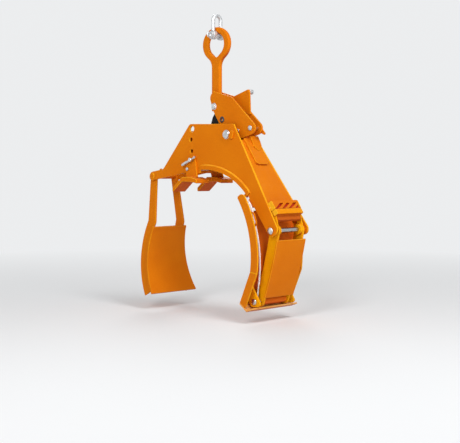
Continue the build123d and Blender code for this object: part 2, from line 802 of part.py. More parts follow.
# Lifting bar: forged eye, neck, flat shank and the block that the cheeks are bolted to
shank_low = lever_left_top_z - eye_half_height
shank_high = eye_z - eye_inner_radius
with BuildPart() as lifting_bar:
    with BuildSketch(Plane.XZ) as eye_face:
        with Locations((eye_x, eye_z)):
            Ellipse(eye_half_width, eye_half_height)
        with Locations((eye_x, (shank_low + shank_high) / 2)):
            Rectangle(shank_width, shank_high - shank_low)
        neck = eye_face.vertices().filter_by_position(Axis.Y, lever_left_top_z, shank_high)
        fillet(neck, neck_radius)
    extrude(amount=eye_thickness / 2, both=True)
    eye_opening = hull_of([(eye_x, eye_z, eye_inner_radius), (eye_x, eye_z - eye_low_drop, eye_low_radius)])
    extrude(eye_opening, amount=eye_thickness, both=True, mode=Mode.SUBTRACT)
    round_edges = lifting_bar.edges().filter_by_position(Axis.Z, lever_left_top_z + 20.0, eye_z + 200.0)
    fillet(round_edges.filter_by(Axis.Y, reverse=True), eye_rounding)
    extrude(
        hull_of(
            [
                (eye_x, lever_left_top_z - 22.0, shank_width / 2),
                (upper_bolt_x, upper_bolt_z, bolt_radius + 14.0),
                (lower_bolt_x, lower_bolt_z, bolt_radius + 14.0),
            ]
        ),
        amount=cheek_gap - 0.1,
        both=True,
    )
    with BuildSketch(Plane.XZ):
        with Locations((upper_bolt_x, upper_bolt_z), (lower_bolt_x, lower_bolt_z)):
            Circle(bolt_radius + running_gap)
    extrude(amount=100.0, both=True, mode=Mode.SUBTRACT)

# Rubber buffer on the lower edge of the lifting bar's block, between the cheeks
block_way = unit((upper_bolt_x, upper_bolt_z), (lower_bolt_x, lower_bolt_z))
block_out = (block_way[1], -block_way[0])
block_edge = moved((upper_bolt_x, upper_bolt_z), block_out, bolt_radius + 14.0)
with BuildPart() as lever_buffer:
    with BuildSketch(Plane.XZ) as buffer_face:
        Polygon(
            moved(block_edge, block_way, 20.0),
            moved(block_edge, block_way, 86.0),
            moved(moved(block_edge, block_way, 88.0), block_out, 55.0),
            moved(moved(block_edge, block_way, 54.0), block_out, 76.0),
            moved(moved(block_edge, block_way, 27.0), block_out, 29.0),
            align=None,
        )
        fillet(buffer_face.vertices().sort_by_distance(block_edge)[2:], 6.0)
    extrude(amount=buffer_half_width, both=True)

# Bow shackle hanging in the eye
shackle_z = eye_z + eye_inner_radius - shackle_pin_radius - 0.3
boss_near = shackle_half_width - shackle_boss_width / 2
with BuildPart() as shackle_bow:
    bow_straight = shackle_height - shackle_half_width - shackle_wire_radius
    with BuildLine() as bow_line:
        bow_side = Line(
            (eye_x, -shackle_half_width, shackle_z),
            (eye_x, -shackle_half_width, shackle_z + bow_straight),
        )
        bow_arc = ThreePointArc(
            bow_side @ 1,
            (eye_x, 0, shackle_z + shackle_height - shackle_wire_radius),
            (eye_x, shackle_half_width, (bow_side @ 1).Z),
        )
        Line(bow_arc @ 1, (eye_x, shackle_half_width, shackle_z))
    with BuildSketch(Plane(origin=bow_line.line @ 0, z_dir=bow_line.line % 0)):
        Circle(shackle_wire_radius)
    sweep()
    with BuildSketch(at_y(-boss_near)):
        with Locations((eye_x, shackle_z)):
            Circle(shackle_boss_radius)
    extrude(amount=shackle_boss_width)
    with BuildSketch(at_y(boss_near + shackle_boss_width)):
        with Locations((eye_x, shackle_z)):
            Circle(shackle_boss_radius)
    extrude(amount=shackle_boss_width)
    with BuildSketch(Plane.XZ):
        with Locations((eye_x, shackle_z)):
            Circle(shackle_pin_radius + running_gap)
    extrude(amount=100.0, both=True, mode=Mode.SUBTRACT)
shackle_back = boss_near + shackle_boss_width
with BuildPart(at_y(shackle_back + 10.0)) as shackle_pin:
    with Locations((eye_x, shackle_z)):
        Cylinder(shackle_pin_radius, 2 * shackle_back + 10.4, align=(Align.CENTER, Align.CENTER, Align.MIN))
    with Locations((eye_x, shackle_z, 2 * shackle_back + 10.4)):
        Cylinder(shackle_pin_radius + 6.0, 9.0, align=(Align.CENTER, Align.CENTER, Align.MIN))
    chamfer(shackle_pin.edges().group_by(Axis.Y)[-1], 2.0)

# Push rod: slides inside the leg, driven by the drive pin and bearing on the arm's heel
drive_from_crown = (drive[0] - crown_x, drive[1] - crown_z)
drive_along = drive_from_crown[0] * leg_way[0] + drive_from_crown[1] * leg_way[1]
drive_out = drive_from_crown[0] * leg_out[0] + drive_from_crown[1] * leg_out[1]
rod_face = drive_out + rod_thickness / 2
rod_back = drive_out - rod_thickness / 2
swing_rise = drive_radius * (1 - math.cos(math.radians(drive_swing / 2)))
slot_far = leg(drive_along, drive_out + swing_rise)
with BuildPart() as push_rod:
    with BuildSketch(Plane.XZ):
        with Locations(drive):
            Circle(rod_head_radius)
        Polygon(
            leg(drive_along, rod_face),
            leg(rod_reach, rod_face),
            leg(rod_reach, rod_back),
            leg(drive_along, rod_back),
            align=None,
        )
    extrude(amount=rod_half_width, both=True)
    extrude(
        hull_of(
            [
                (drive[0], drive[1], drive_pin_radius + 2 * running_gap),
                (slot_far[0], slot_far[1], drive_pin_radius + 2 * running_gap),
            ]
        ),
        amount=100.0,
        both=True,
        mode=Mode.SUBTRACT,
    )

# Notched foot bar across the lower end of the push rod, lying over the end of the cover
foot_origin = leg(rod_reach, rod_face)
foot_plane = Plane(
    origin=(foot_origin[0], 0, foot_origin[1]),
    x_dir=(0, 1, 0),
    z_dir=(leg_out[0], 0, leg_out[1]),
)
bar_plane = foot_plane.offset(foot_bar_lift - rod_face)
with BuildPart() as rod_foot:
    with BuildSketch(bar_plane):
        with Locations((0, foot_bar_height / 2)):
            Rectangle(2 * foot_bar_half_length, foot_bar_height)
        for step in range(notch_count):
            notch_y = (step - (notch_count - 1) / 2) * notch_pitch
            with Locations((notch_y, 0)):
                Polygon(
                    (-notch_slant, -1.0),
                    (notch_width - notch_slant, -1.0),
                    (notch_width, notch_depth),
                    (0.0, notch_depth),
                    align=None,
                    mode=Mode.SUBTRACT,
                )
    extrude(amount=bar_front - foot_bar_lift)
    with BuildSketch(foot_plane):
        with Locations((0, (rod_reach - foot_block_top) / 2)):
            Rectangle(2 * (foot_bar_half_length - foot_block_inset), rod_reach - foot_block_top)
    extrude(amount=foot_bar_lift - rod_face)

# Arm: two curved plates with heels and bushes, heel bar, curved cover, cross tube and shoe pin
heel_low = rod_reach + 0.3 + heel_bar_height
arm_inner = arm_half_width - arm_plate_thickness
with BuildPart() as arm_plate_front:
    with BuildSketch(at_y(-(arm_half_width - arm_plate_thickness))) as arm_outline:
        with BuildLine(mode=Mode.PRIVATE) as arm_spine:
            ThreePointArc(lower_pin_at, (arm_mid_x, arm_mid_z), shoe_pin_at)
        SlotArc(arm_spine.edge(), arm_width)
        Polygon(
            leg(heel_low, heel_step_front),
            leg(heel_low, rod_face),
            moved(lower_pin_at, leg_out, -arm_width / 2 + 2.0),
            moved(lower_pin_at, leg_out, arm_width / 2 - 2.0),
            align=None,
        )
        with Locations(lower_pin_at):
            Circle(lower_pin_radius + running_gap, mode=Mode.SUBTRACT)
        with Locations(shoe_pin_at):
            Circle(shoe_pin_radius + running_gap, mode=Mode.SUBTRACT)
    extrude(amount=arm_plate_thickness)
    with BuildSketch(at_y(-(arm_half_width - arm_plate_thickness - bush_length))):
        with Locations(lower_pin_at):
            Circle(bush_radius)
            Circle(lower_pin_radius + running_gap, mode=Mode.SUBTRACT)
    extrude(amount=bush_length)
with BuildPart() as arm_plate_rear:
    mirror(arm_plate_front.part, about=Plane.XZ)
with BuildPart() as heel_bar:
    with BuildSketch(Plane.XZ):
        Polygon(
            leg(rod_reach + 0.3, rod_face),
            leg(rod_reach + 0.3, bar_front),
            leg(heel_low, bar_front),
            leg(heel_low, rod_face),
            align=None,
        )
    extrude(amount=heel_bar_half_length, both=True)
    with BuildSketch(Plane.XZ):
        Polygon(
            leg(heel_low, rod_face),
            leg(heel_low, heel_step_front),
            leg(heel_low + heel_step_height, heel_step_front),
            leg(heel_low + heel_step_height, rod_face),
            align=None,
        )
    extrude(amount=arm_inner - running_gap, both=True)
arm_arc = ThreePointArc(lower_pin_at, (arm_mid_x, arm_mid_z), shoe_pin_at)
arm_centre = arm_arc.arc_center
arm_curve = arm_arc.radius
arm_top_turn = math.degrees(math.atan2(lower_pin_z - arm_centre.Y, lower_pin_x - arm_centre.X))
arm_low_turn = math.degrees(math.atan2(shoe_pin_z - arm_centre.Y, shoe_pin_x - arm_centre.X))
cover_top_turn = arm_top_turn - math.degrees(arm_cover_top / arm_curve)
cover_low_turn = arm_low_turn + math.degrees(arm_cover_bottom / arm_curve)
with BuildPart() as arm_cover:
    extrude(
        ring_sector(
            (arm_centre.X, arm_centre.Y),
            arm_curve + arm_width / 2,
            arm_curve + arm_width / 2 + arm_cover_thickness,
            cover_low_turn,
            cover_top_turn,
        ),
        amount=arm_cover_half_width,
        both=True,
    )
with BuildPart() as arm_cross_tube:
    with BuildSketch(Plane.XZ):
        with Locations(shoe_pin_at):
            Circle(cross_tube_radius)
            Circle(shoe_pin_radius + running_gap, mode=Mode.SUBTRACT)
    extrude(amount=arm_inner - 0.1, both=True)
rope_eye_near = rope_y + rope_eye_width / 2
shoe_pin_front = -(lug_inner_y + lug_thickness + 1.0)
with BuildPart(at_y(lug_inner_y + lug_thickness + 9.0)) as shoe_pin:
    with Locations(shoe_pin_at):
        Cylinder(
            shoe_pin_radius,
            lug_inner_y + lug_thickness + 9.0 - shoe_pin_front,
            align=(Align.CENTER, Align.CENTER, Align.MIN),
        )
    with Locations((shoe_pin_x, shoe_pin_z, lug_inner_y + lug_thickness + 9.0 - shoe_pin_front)):
        Cylinder(shoe_pin_head_radius, 6.0, align=(Align.CENTER, Align.CENTER, Align.MIN))
    fillet(shoe_pin.edges().group_by(Axis.Y)[0], 4.0)

# Shoe: curved pad, straight toe, turned lip, two webs, two lugs and the rope staple
shoe_centre = (shoe_centre_x, shoe_centre_z)
shoe_back = shoe_radius + shoe_plate
shoe_top_turn = math.degrees(math.asin((shoe_top_z - shoe_centre_z) / shoe_radius))
shoe_bend_turn = math.degrees(math.asin((shoe_bend_z - shoe_centre_z) / shoe_radius))


def on_shoe(radius, angle):
    """Point at a radius and an angle round the centre of the shoe's curve."""
    turn = math.radians(angle)
    return (shoe_centre_x + radius * math.cos(turn), shoe_centre_z + radius * math.sin(turn))


bend_inner = on_shoe(shoe_radius, shoe_bend_turn)
bend_outer = on_shoe(shoe_back, shoe_bend_turn)
toe = (toe_x, toe_z)
toe_way = unit(bend_inner, toe)
toe_out = (-toe_way[1], toe_way[0])
lip_way = unit(toe, (lip_x, lip_z))
lip_up = (-lip_way[1], lip_way[0])
lip_top = moved(toe, lip_up, shoe_plate)
toe_inner_end = crossing(bend_inner, toe_way, lip_top, lip_way)
toe_outer_end = crossing(bend_outer, toe_way, lip_top, lip_way)
pad_half = shoe_half_width - shoe_plate
with BuildPart() as shoe_pad:
    extrude(
        ring_sector(shoe_centre, shoe_radius, shoe_back, shoe_bend_turn, shoe_top_turn),
        amount=pad_half,
        both=True,
    )
    with BuildSketch(Plane.YZ):
        with Locations((0, notch_z + 100.0)):
            RectangleRounded(2 * notch_half_width, 200.0, 20.0)
    extrude(amount=reach, both=True, mode=Mode.SUBTRACT)
with BuildPart() as toe_plate:
    with BuildSketch(Plane.XZ):
        Polygon(bend_inner, bend_outer, toe_outer_end, toe_inner_end, align=None)
    extrude(amount=pad_half, both=True)
lip_end = (lip_x, lip_z)
turn_end = (lip_turn_x, lip_turn_z)
turn_way = unit(lip_end, turn_end)
turn_up = (-turn_way[1], turn_way[0])
lip_fold = crossing(lip_top, lip_way, moved(lip_end, turn_up, shoe_plate), turn_way)
with BuildPart() as toe_lip:
    with BuildSketch(Plane.XZ):
        Polygon(
            toe,
            lip_end,
            turn_end,
            moved(turn_end, turn_up, shoe_plate),
            lip_fold,
            lip_top,
            align=None,
        )
    extrude(amount=shoe_half_width, both=True)
web_edge = shoe_radius + web_depth
web_bend = on_shoe(web_edge, shoe_bend_turn)
web_low = crossing(web_bend, toe_way, lip_top, lip_way)
with BuildPart() as shoe_web_front:
    with BuildSketch(at_y(-pad_half)) as web_face:
        with BuildLine():
            web_inside = CenterArc(shoe_centre, shoe_radius, shoe_bend_turn, shoe_top_turn - shoe_bend_turn)
            web_outside = CenterArc(shoe_centre, web_edge, shoe_bend_turn, shoe_top_turn - shoe_bend_turn)
            Line(web_inside @ 1, web_outside @ 1)
            Polyline(web_outside @ 0, web_low, toe_inner_end, web_inside @ 0)
        make_face()
        fillet(web_face.vertices().sort_by_distance(on_shoe(web_edge, shoe_top_turn))[:1], 26.0)
        fillet(web_face.vertices().sort_by_distance(on_shoe(shoe_radius, shoe_top_turn))[:1], 10.0)
        fillet(web_face.vertices().sort_by_distance(web_low)[:1], 10.0)
    extrude(amount=shoe_plate)
with BuildPart() as shoe_web_rear:
    mirror(shoe_web_front.part, about=Plane.XZ)
lug_high_root = moved(bend_outer, toe_way, lug_root_high)
lug_low_root = moved(bend_outer, toe_way, lug_root_low)
with BuildPart() as shoe_lug_front:
    with BuildSketch(at_y(-lug_inner_y)):
        with Locations(shoe_pin_at):
            Circle(lug_radius)
        Polygon(
            lug_high_root,
            tangent(lug_high_root, shoe_pin_at, lug_radius, 1),
            shoe_pin_at,
            tangent(lug_low_root, shoe_pin_at, lug_radius, -1),
            lug_low_root,
            align=None,
        )
        with Locations(shoe_pin_at):
            Circle(shoe_pin_radius + running_gap, mode=Mode.SUBTRACT)
    extrude(amount=lug_thickness)
with BuildPart() as shoe_lug_rear:
    mirror(shoe_lug_front.part, about=Plane.XZ)
staple_points = [
    on_shoe(shoe_back + 0.6, staple_low_angle),
    on_shoe(shoe_back + staple_height, staple_low_angle + 0.8),
    on_shoe(shoe_back + staple_height, staple_high_angle - 0.8),
    on_shoe(shoe_back + 0.6, staple_high_angle),
]
with BuildPart() as rope_staple:
    with BuildLine() as staple_line:
        FilletPolyline(*[(x, staple_y, z) for x, z in staple_points], radius=20.0)
    with BuildSketch(Plane(origin=staple_line.line @ 0, z_dir=staple_line.line % 0)):
        Circle(staple_wire)
    sweep()

# Tether rope from the lug under the arch, through the staple, down to its end fitting on the shoe pin
rope_start_way = Vector(0.66, -0.55, -0.52).normalized()
rope_start = Vector(lug_low[0], rope_lug_y, lug_low[1]) + Vector(lug_way[0], 0, lug_way[1]) * 8.0
rope_first = rope_start + rope_start_way * (rope_lug_radius + 2.0)
rope_turn = polar(arch_inner - rope_turn_gap, rope_turn_angle)
rope_high = on_shoe(shoe_back + rope_high_stand, rope_high_angle)
rope_at_staple = on_shoe(shoe_back + rope_staple_stand, rope_staple_angle)
rope_mid = on_shoe(shoe_back + rope_mid_stand, rope_mid_angle)
rope_low = on_shoe(shoe_back + rope_low_stand, rope_low_angle)
rope_foot = on_shoe(shoe_back + rope_end_stand, rope_end_angle)
rope_last = (rope_foot[0], rope_y, rope_foot[1])
rope_drop = unit(rope_foot, shoe_pin_at)
rope_end_length = math.hypot(shoe_pin_x - rope_foot[0], shoe_pin_z - rope_foot[1]) - rope_end_sink
rope_above = moved(rope_foot, rope_drop, -rope_straight)
with BuildPart() as tether_rope:
    with BuildLine() as rope_line:
        FilletPolyline(
            rope_first,
            (rope_turn[0], -(half_width(rope_turn[1]) + rope_side_clear), rope_turn[1]),
            (rope_high[0], -(half_width(rope_high[1]) + rope_side_clear), rope_high[1]),
            (rope_at_staple[0], rope_run_y, rope_at_staple[1]),
            (rope_mid[0], rope_run_y, rope_mid[1]),
            (rope_low[0], rope_run_y, rope_low[1]),
            (rope_above[0], rope_y, rope_above[1]),
            rope_last,
            radius=rope_bend,
        )
    with BuildSketch(Plane(origin=rope_line.line @ 0, z_dir=rope_line.line % 0)):
        Circle(rope_radius)
    sweep()
with BuildPart() as rope_end:
    with BuildSketch(Plane(origin=rope_last, z_dir=(rope_drop[0], 0, rope_drop[1]))):
        Circle(rope_end_radius)
    extrude(amount=rope_end_length)
    with BuildSketch(at_y(rope_eye_near)):
        with Locations(shoe_pin_at):
            Circle(rope_eye_radius)
    extrude(amount=rope_eye_width)
    with BuildSketch(at_y(0.0)):
        with Locations(shoe_pin_at):
            Circle(shoe_pin_radius + running_gap)
    extrude(amount=300.0, mode=Mode.SUBTRACT)

pieces = {
    "lifting_bar": lifting_bar,
    "lever_cheek_front": lever_cheek_front,
    "lever_cheek_rear": lever_cheek_rear,
    "lever_bolt_upper": lever_bolt_upper,
    "lever_bolt_lower": lever_bolt_lower,
    "drive_pin": drive_pin,
    "corner_pin": corner_pin,
    "release_ear": release_ear,
    "ear_bolt": ear_bolt,
    "lever_buffer": lever_buffer,
    "catch_tab": catch_tab,
    "shackle_bow": shackle_bow,
    "shackle_pin": shackle_pin,
    "side_plate_front": side_plate_front,
    "side_plate_rear": side_plate_rear,
    "arch_plate": arch_plate,
    "outer_cover": outer_cover,
    "guide_plate": guide_plate,
    "lever_stop": lever_stop,
    "back_plate": back_plate,
    "tail_tube": tail_tube,
    "jaw_web_front": jaw_web_front,
    "jaw_web_rear": jaw_web_rear,
    "jaw_pad": jaw_pad,
    "pivot_pin": pivot_pin,
    "pivot_collar_front": pivot_collar_front,
    "pivot_collar_rear": pivot_collar_rear,
    "pivot_keeper": pivot_keeper,
    "lower_pin": lower_pin,
    "lower_collar_front": lower_collar_front,
    "lower_collar_rear": lower_collar_rear,
    "rope_lug": rope_lug,
    "foot_plate_front": foot_plate_front,
    "foot_plate_rear": foot_plate_rear,
    "foot_saddle_front": foot_saddle_front,
    "foot_saddle_rear": foot_saddle_rear,
    "foot_bolt": foot_bolt,
    "setting_pin": setting_pin,
    "pin_handle": pin_handle,
    "push_rod": push_rod,
    "rod_foot": rod_foot,
    "arm_plate_front": arm_plate_front,
    "arm_plate_rear": arm_plate_rear,
    "arm_cover": arm_cover,
    "heel_bar": heel_bar,
    "arm_cross_tube": arm_cross_tube,
    "shoe_pin": shoe_pin,
    "tether_rope": tether_rope,
    "rope_end": rope_end,
    "shoe_pad": shoe_pad,
    "toe_plate": toe_plate,
    "toe_lip": toe_lip,
    "shoe_web_front": shoe_web_front,
    "shoe_web_rear": shoe_web_rear,
    "shoe_lug_front": shoe_lug_front,
    "shoe_lug_rear": shoe_lug_rear,
    "rope_staple": rope_staple,
}
for name, piece in pieces.items():
    piece.part.label = name
    export_step(piece.part, "parts/" + name + ".step")
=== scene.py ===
# Concrete pipe grab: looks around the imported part, in the part's own frame.
import json
import math

import bmesh
import bpy
import numpy as np
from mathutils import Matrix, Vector

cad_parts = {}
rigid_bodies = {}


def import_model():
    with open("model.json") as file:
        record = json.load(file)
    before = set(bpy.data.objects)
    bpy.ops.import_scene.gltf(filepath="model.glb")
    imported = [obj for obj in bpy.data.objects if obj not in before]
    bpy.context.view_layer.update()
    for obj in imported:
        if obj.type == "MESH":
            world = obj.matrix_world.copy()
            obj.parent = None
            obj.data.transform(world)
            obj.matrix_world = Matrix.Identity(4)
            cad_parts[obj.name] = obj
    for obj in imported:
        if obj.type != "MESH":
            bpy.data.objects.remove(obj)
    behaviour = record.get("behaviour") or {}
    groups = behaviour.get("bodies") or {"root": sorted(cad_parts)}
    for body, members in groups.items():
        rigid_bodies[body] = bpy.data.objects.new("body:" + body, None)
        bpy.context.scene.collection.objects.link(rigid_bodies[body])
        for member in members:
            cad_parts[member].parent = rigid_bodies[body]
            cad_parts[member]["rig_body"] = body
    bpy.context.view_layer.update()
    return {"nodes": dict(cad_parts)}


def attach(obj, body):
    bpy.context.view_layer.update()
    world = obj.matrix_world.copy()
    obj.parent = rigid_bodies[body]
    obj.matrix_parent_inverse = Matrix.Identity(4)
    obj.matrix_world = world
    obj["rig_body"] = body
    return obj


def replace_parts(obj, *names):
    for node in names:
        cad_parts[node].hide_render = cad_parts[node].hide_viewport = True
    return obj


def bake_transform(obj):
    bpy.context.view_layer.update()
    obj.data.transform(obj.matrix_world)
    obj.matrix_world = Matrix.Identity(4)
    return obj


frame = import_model()

# Side plates of the frame: two flame-cut steel plates that lean together at the top, each with a tail,
# a column of setting holes and a long leg. The edges are ground off and the whole grab is sprayed with
# one coat of orange enamel; broken edges and faces that look along a plate are made lighter as a
# painted highlight, and the edges chip more often.
mm = 0.001
merge_digits = 6
flat_turn = math.radians(0.6)
sharp_turn = math.radians(30.0)
edge_steps = 2
plate_edge = 1.8
frame_half_width = 120.0
lower_pin = (491.0, 158.0)
splay = math.tan(math.radians(6.73))
deep_orange = (0.70, 0.172, 0.003)
light_orange = (0.76, 0.215, 0.004)
# painted highlight: the lighter orange for broken edges, faces that look along a plate and the butt weld on
# the shoe
highlight_orange = (0.93, 0.47, 0.010)
grain_orange = (0.60, 0.13, 0.003)
# painted shade: the dark red mixed into faces that look down
underside_shade = (0.44, 0.055, 0.008)
dust_colour = (0.78, 0.46, 0.20)
primer_grey = (0.30, 0.27, 0.25)
few_chips, more_chips, chip_fade = 0.82, 0.70, 0.02
edge_highlight_share, grain_share, dust_share, underside_shade_share = 0.75, 0.3, 0.22, 0.75
cloud_noise, grain_noise, dust_noise = (5.0, 4.0), (210.0, 3.0), (38.0, 6.0)
chip_noise, gloss_noise, peel_noise = (95.0, 8.0), (60.0, 3.0), (420.0, 3.0)
noise_low, noise_high = 0.3, 0.7
face_look, edge_look, dust_look, underside_shade_look, underside_darkest_look = 0.9, 0.6, 0.5, -0.3, -0.75
paint_gloss, paint_smooth, paint_rough = 0.03, 0.30, 0.46
peel_depth, peel_strength = 0.0005, 0.22


def plain_noise(tree, place, pattern):
    """Noise of a pattern, which is a scale in cycles per metre and a detail."""
    noise = tree.nodes.new("ShaderNodeTexNoise")
    noise.inputs["Scale"].default_value = pattern[0]
    noise.inputs["Detail"].default_value = pattern[1]
    tree.links.new(place, noise.inputs["Vector"])
    return noise.outputs["Fac"]


def remapped(tree, value, from_low, from_high, low, high):
    """A value carried from one range to another and held at its ends."""
    span = tree.nodes.new("ShaderNodeMapRange")
    span.inputs["From Min"].default_value = from_low
    span.inputs["From Max"].default_value = from_high
    span.inputs["To Min"].default_value = low
    span.inputs["To Max"].default_value = high
    tree.links.new(value, span.inputs["Value"])
    return span.outputs["Result"]


def noise_range(tree, place, pattern, low=0.0, high=1.0):
    """Noise of a pattern, stretched to run from low to high."""
    return remapped(tree, plain_noise(tree, place, pattern), noise_low, noise_high, low, high)


def mixed(tree, share, first, second):
    """Colour that goes from the first to the second by a share; either may come from another node."""
    mix = tree.nodes.new("ShaderNodeMix")
    mix.data_type = "RGBA"
    tree.links.new(share, mix.inputs[0])
    for socket, colour in ((mix.inputs[6], first), (mix.inputs[7], second)):
        if isinstance(colour, tuple):
            socket.default_value = (*colour, 1.0)
        else:
            tree.links.new(colour, socket)
    return mix.outputs[2]


def worked(tree, kind, operation, values, output="Value"):
    """One operation of a maths node on values that are constants or come from other nodes."""
    node = tree.nodes.new(kind)
    node.operation = operation
    for socket, value in zip(node.inputs, values):
        if isinstance(value, tuple):
            socket.default_value = value
        else:
            tree.links.new(value, socket)
    return node.outputs[output]


def bumped(tree, shader, height, depth, strength):
    """Fine relief of the given depth in metres on a shader's normal."""
    bump = tree.nodes.new("ShaderNodeBump")
    bump.inputs["Distance"].default_value = depth
    bump.inputs["Strength"].default_value = strength
    tree.links.new(height, bump.inputs["Height"])
    tree.links.new(bump.outputs["Normal"], shader.inputs["Normal"])


def new_finish(name):
    """Empty material with its node tree, its shader and the piece's own Object coordinates."""
    finish = bpy.data.materials.new(name)
    finish.use_nodes = True
    tree = finish.node_tree
    place = tree.nodes.new("ShaderNodeTexCoord")
    return finish, tree, tree.nodes["Principled BSDF"], place


def enamel(name, deep, light, chip_level, edge_highlight=0.0):
    """Sprayed enamel: slow noise mixes a deep and a light tone, fine noise darkens the grain, faces that
    look along the plate are lightened by a share as a painted highlight, dust settles where the face looks
    up, faces that look down are painted darker and redder as shade, and primer shows where the chip noise
    passes its level."""
    finish, tree, shader, place = new_finish(name)
    at = place.outputs["Object"]
    tone = mixed(tree, noise_range(tree, at, cloud_noise), deep, light)
    tone = mixed(tree, noise_range(tree, at, grain_noise, 0.0, grain_share), tone, grain_orange)
    split = tree.nodes.new("ShaderNodeSeparateXYZ")
    tree.links.new(place.outputs["Normal"], split.inputs[0])
    if edge_highlight:
        sideways = worked(tree, "ShaderNodeMath", "ABSOLUTE", [split.outputs["Y"]])
        edgewise = remapped(tree, sideways, face_look, edge_look, 0.0, edge_highlight)
        tone = mixed(tree, edgewise, tone, highlight_orange)
    upward = remapped(tree, split.outputs["Z"], dust_look, 1.0, 0.0, dust_share)
    settled = worked(tree, "ShaderNodeMath", "MULTIPLY", [upward, noise_range(tree, at, dust_noise)])
    tone = mixed(tree, settled, tone, dust_colour)
    downward = remapped(tree, split.outputs["Z"], underside_shade_look, underside_darkest_look, 0.0, underside_shade_share)
    tone = mixed(tree, downward, tone, underside_shade)
    chips = plain_noise(tree, at, chip_noise)
    chipped = remapped(tree, chips, chip_level, chip_level + chip_fade, 0.0, 1.0)
    tone = mixed(tree, chipped, tone, primer_grey)
    tree.links.new(tone, shader.inputs["Base Color"])
    shader.inputs["Specular IOR Level"].default_value = paint_gloss
    dull = noise_range(tree, at, gloss_noise, paint_smooth, paint_rough)
    tree.links.new(dull, shader.inputs["Roughness"])
    bumped(tree, shader, noise_range(tree, at, peel_noise), peel_depth, peel_strength)
    return finish


orange_enamel = enamel("orange_enamel", deep_orange, light_orange, few_chips)
# broken edges are lighter as a painted highlight and chip more often; side plates get the painted highlight
# on faces along the plate
edge_highlight_and_chips = enamel("edge_highlight_and_chips", light_orange, highlight_orange, more_chips)
plate_enamel = enamel("plate_enamel", deep_orange, light_orange, few_chips, edge_highlight_share)


def lean(z):
    """Half the outer width of the leaning frame at a height."""
    return frame_half_width - (np.asarray(z, float) - lower_pin[1]) * splay


def linked(name, mesh, finishes):
    """Object at the origin for a finished mesh, with its materials."""
    piece = bpy.data.objects.new(name, mesh)
    bpy.context.scene.collection.objects.link(piece)
    for finish in finishes:
        mesh.materials.append(finish)
    mesh.shade_smooth()
    return piece


def break_edges(piece, edge):
    """Sharp edges of a piece broken to a width in millimetres."""
    broken = piece.modifiers.new("broken_edges", "BEVEL")
    broken.limit_method = "ANGLE"
    broken.angle_limit = sharp_turn
    broken.width = edge * mm
    broken.segments = edge_steps
    return broken


def rounded(node, edge, finishes):
    """A node's own solid with its loose triangles merged and its flat faces joined, whose sharp edges
    are broken to a width in millimetres; the broken edges take the last finish."""
    source = frame["nodes"][node]
    points = np.empty(len(source.data.vertices) * 3)
    source.data.vertices.foreach_get("co", points)
    corners = np.empty(len(source.data.loops), np.int64)
    source.data.loops.foreach_get("vertex_index", corners)
    places, merged = np.unique(points.reshape(-1, 3).round(merge_digits), axis=0, return_inverse=True)
    faces = merged.ravel()[corners].reshape(-1, 3)
    whole = (faces != np.roll(faces, 1, axis=1)).all(axis=1)
    mesh = bpy.data.meshes.new(node + "_steel")
    mesh.from_pydata(places.tolist(), [], faces[whole].tolist())
    work = bmesh.new()
    work.from_mesh(mesh)
    bmesh.ops.dissolve_limit(work, angle_limit=flat_turn, verts=work.verts, edges=work.edges)
    work.to_mesh(mesh)
    work.free()
    piece = linked(node + "_steel", mesh, finishes)
    broken = break_edges(piece, edge)
    broken.use_clamp_overlap = False
    broken.material = len(finishes) - 1
    piece.modifiers.new("even_faces", "WEIGHTED_NORMAL")
    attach(piece, source["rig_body"])
    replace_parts(piece, node)


painted = (orange_enamel, edge_highlight_and_chips)
plated = (plate_enamel, edge_highlight_and_chips)
for node in ("side_plate_front", "side_plate_rear"):
    rounded(node, plate_edge, plated)

# Arch plate: thick rolled plate under both side plates, standing a little proud of them, with a long
# fillet weld along each side plate and a short strip inside the leg below its end, coloured dark red as
# painted shade. Weld beads are laid by hand in short ripples and painted over; the long welds are
# coloured lighter as a painted highlight.
arch_outer = 477.0
arch_edge, arch_bead = 2.5, 4.0
arch_weld_start, arch_weld_end = 46.3, 93.4
side_plate = 10.0
strip_start, strip_way = np.array([318.9, 324.5]), np.array([0.6457, -0.7636])
strip_corners = ((14.0, 18.0), (62.0, 18.0), (62.0, -3.0), (14.0, -3.0))
shade_red_deep, shade_red_light = (0.76, 0.125, 0.010), (0.84, 0.175, 0.010)
bead_step, bead_least, bead_sides = 1.7, 12, 8
bead_flatness, bead_closing, bead_drift = 0.75, 1.3, 0.05
ripple, ripple_depth = 5.2, 0.12
bead_random = np.random.default_rng(8)
arc_points = 64
merge_gap = 2e-6
crease_turn = math.radians(40.0)


def quads(rows, columns):
    """Corner numbers of the four-sided faces of a grid that is closed round its columns."""
    row, column = np.meshgrid(np.arange(rows - 1), np.arange(columns), indexing="ij")
    following = (column + 1) % columns
    corners = [row * columns + column, row * columns + following]
    corners += [(row + 1) * columns + following, (row + 1) * columns + column]
    return np.stack(corners, axis=-1).reshape(-1, 4)


def unit(ways):
    """Directions of length one."""
    ways = np.asarray(ways, float)
    return ways / np.linalg.norm(ways, axis=-1, keepdims=True)


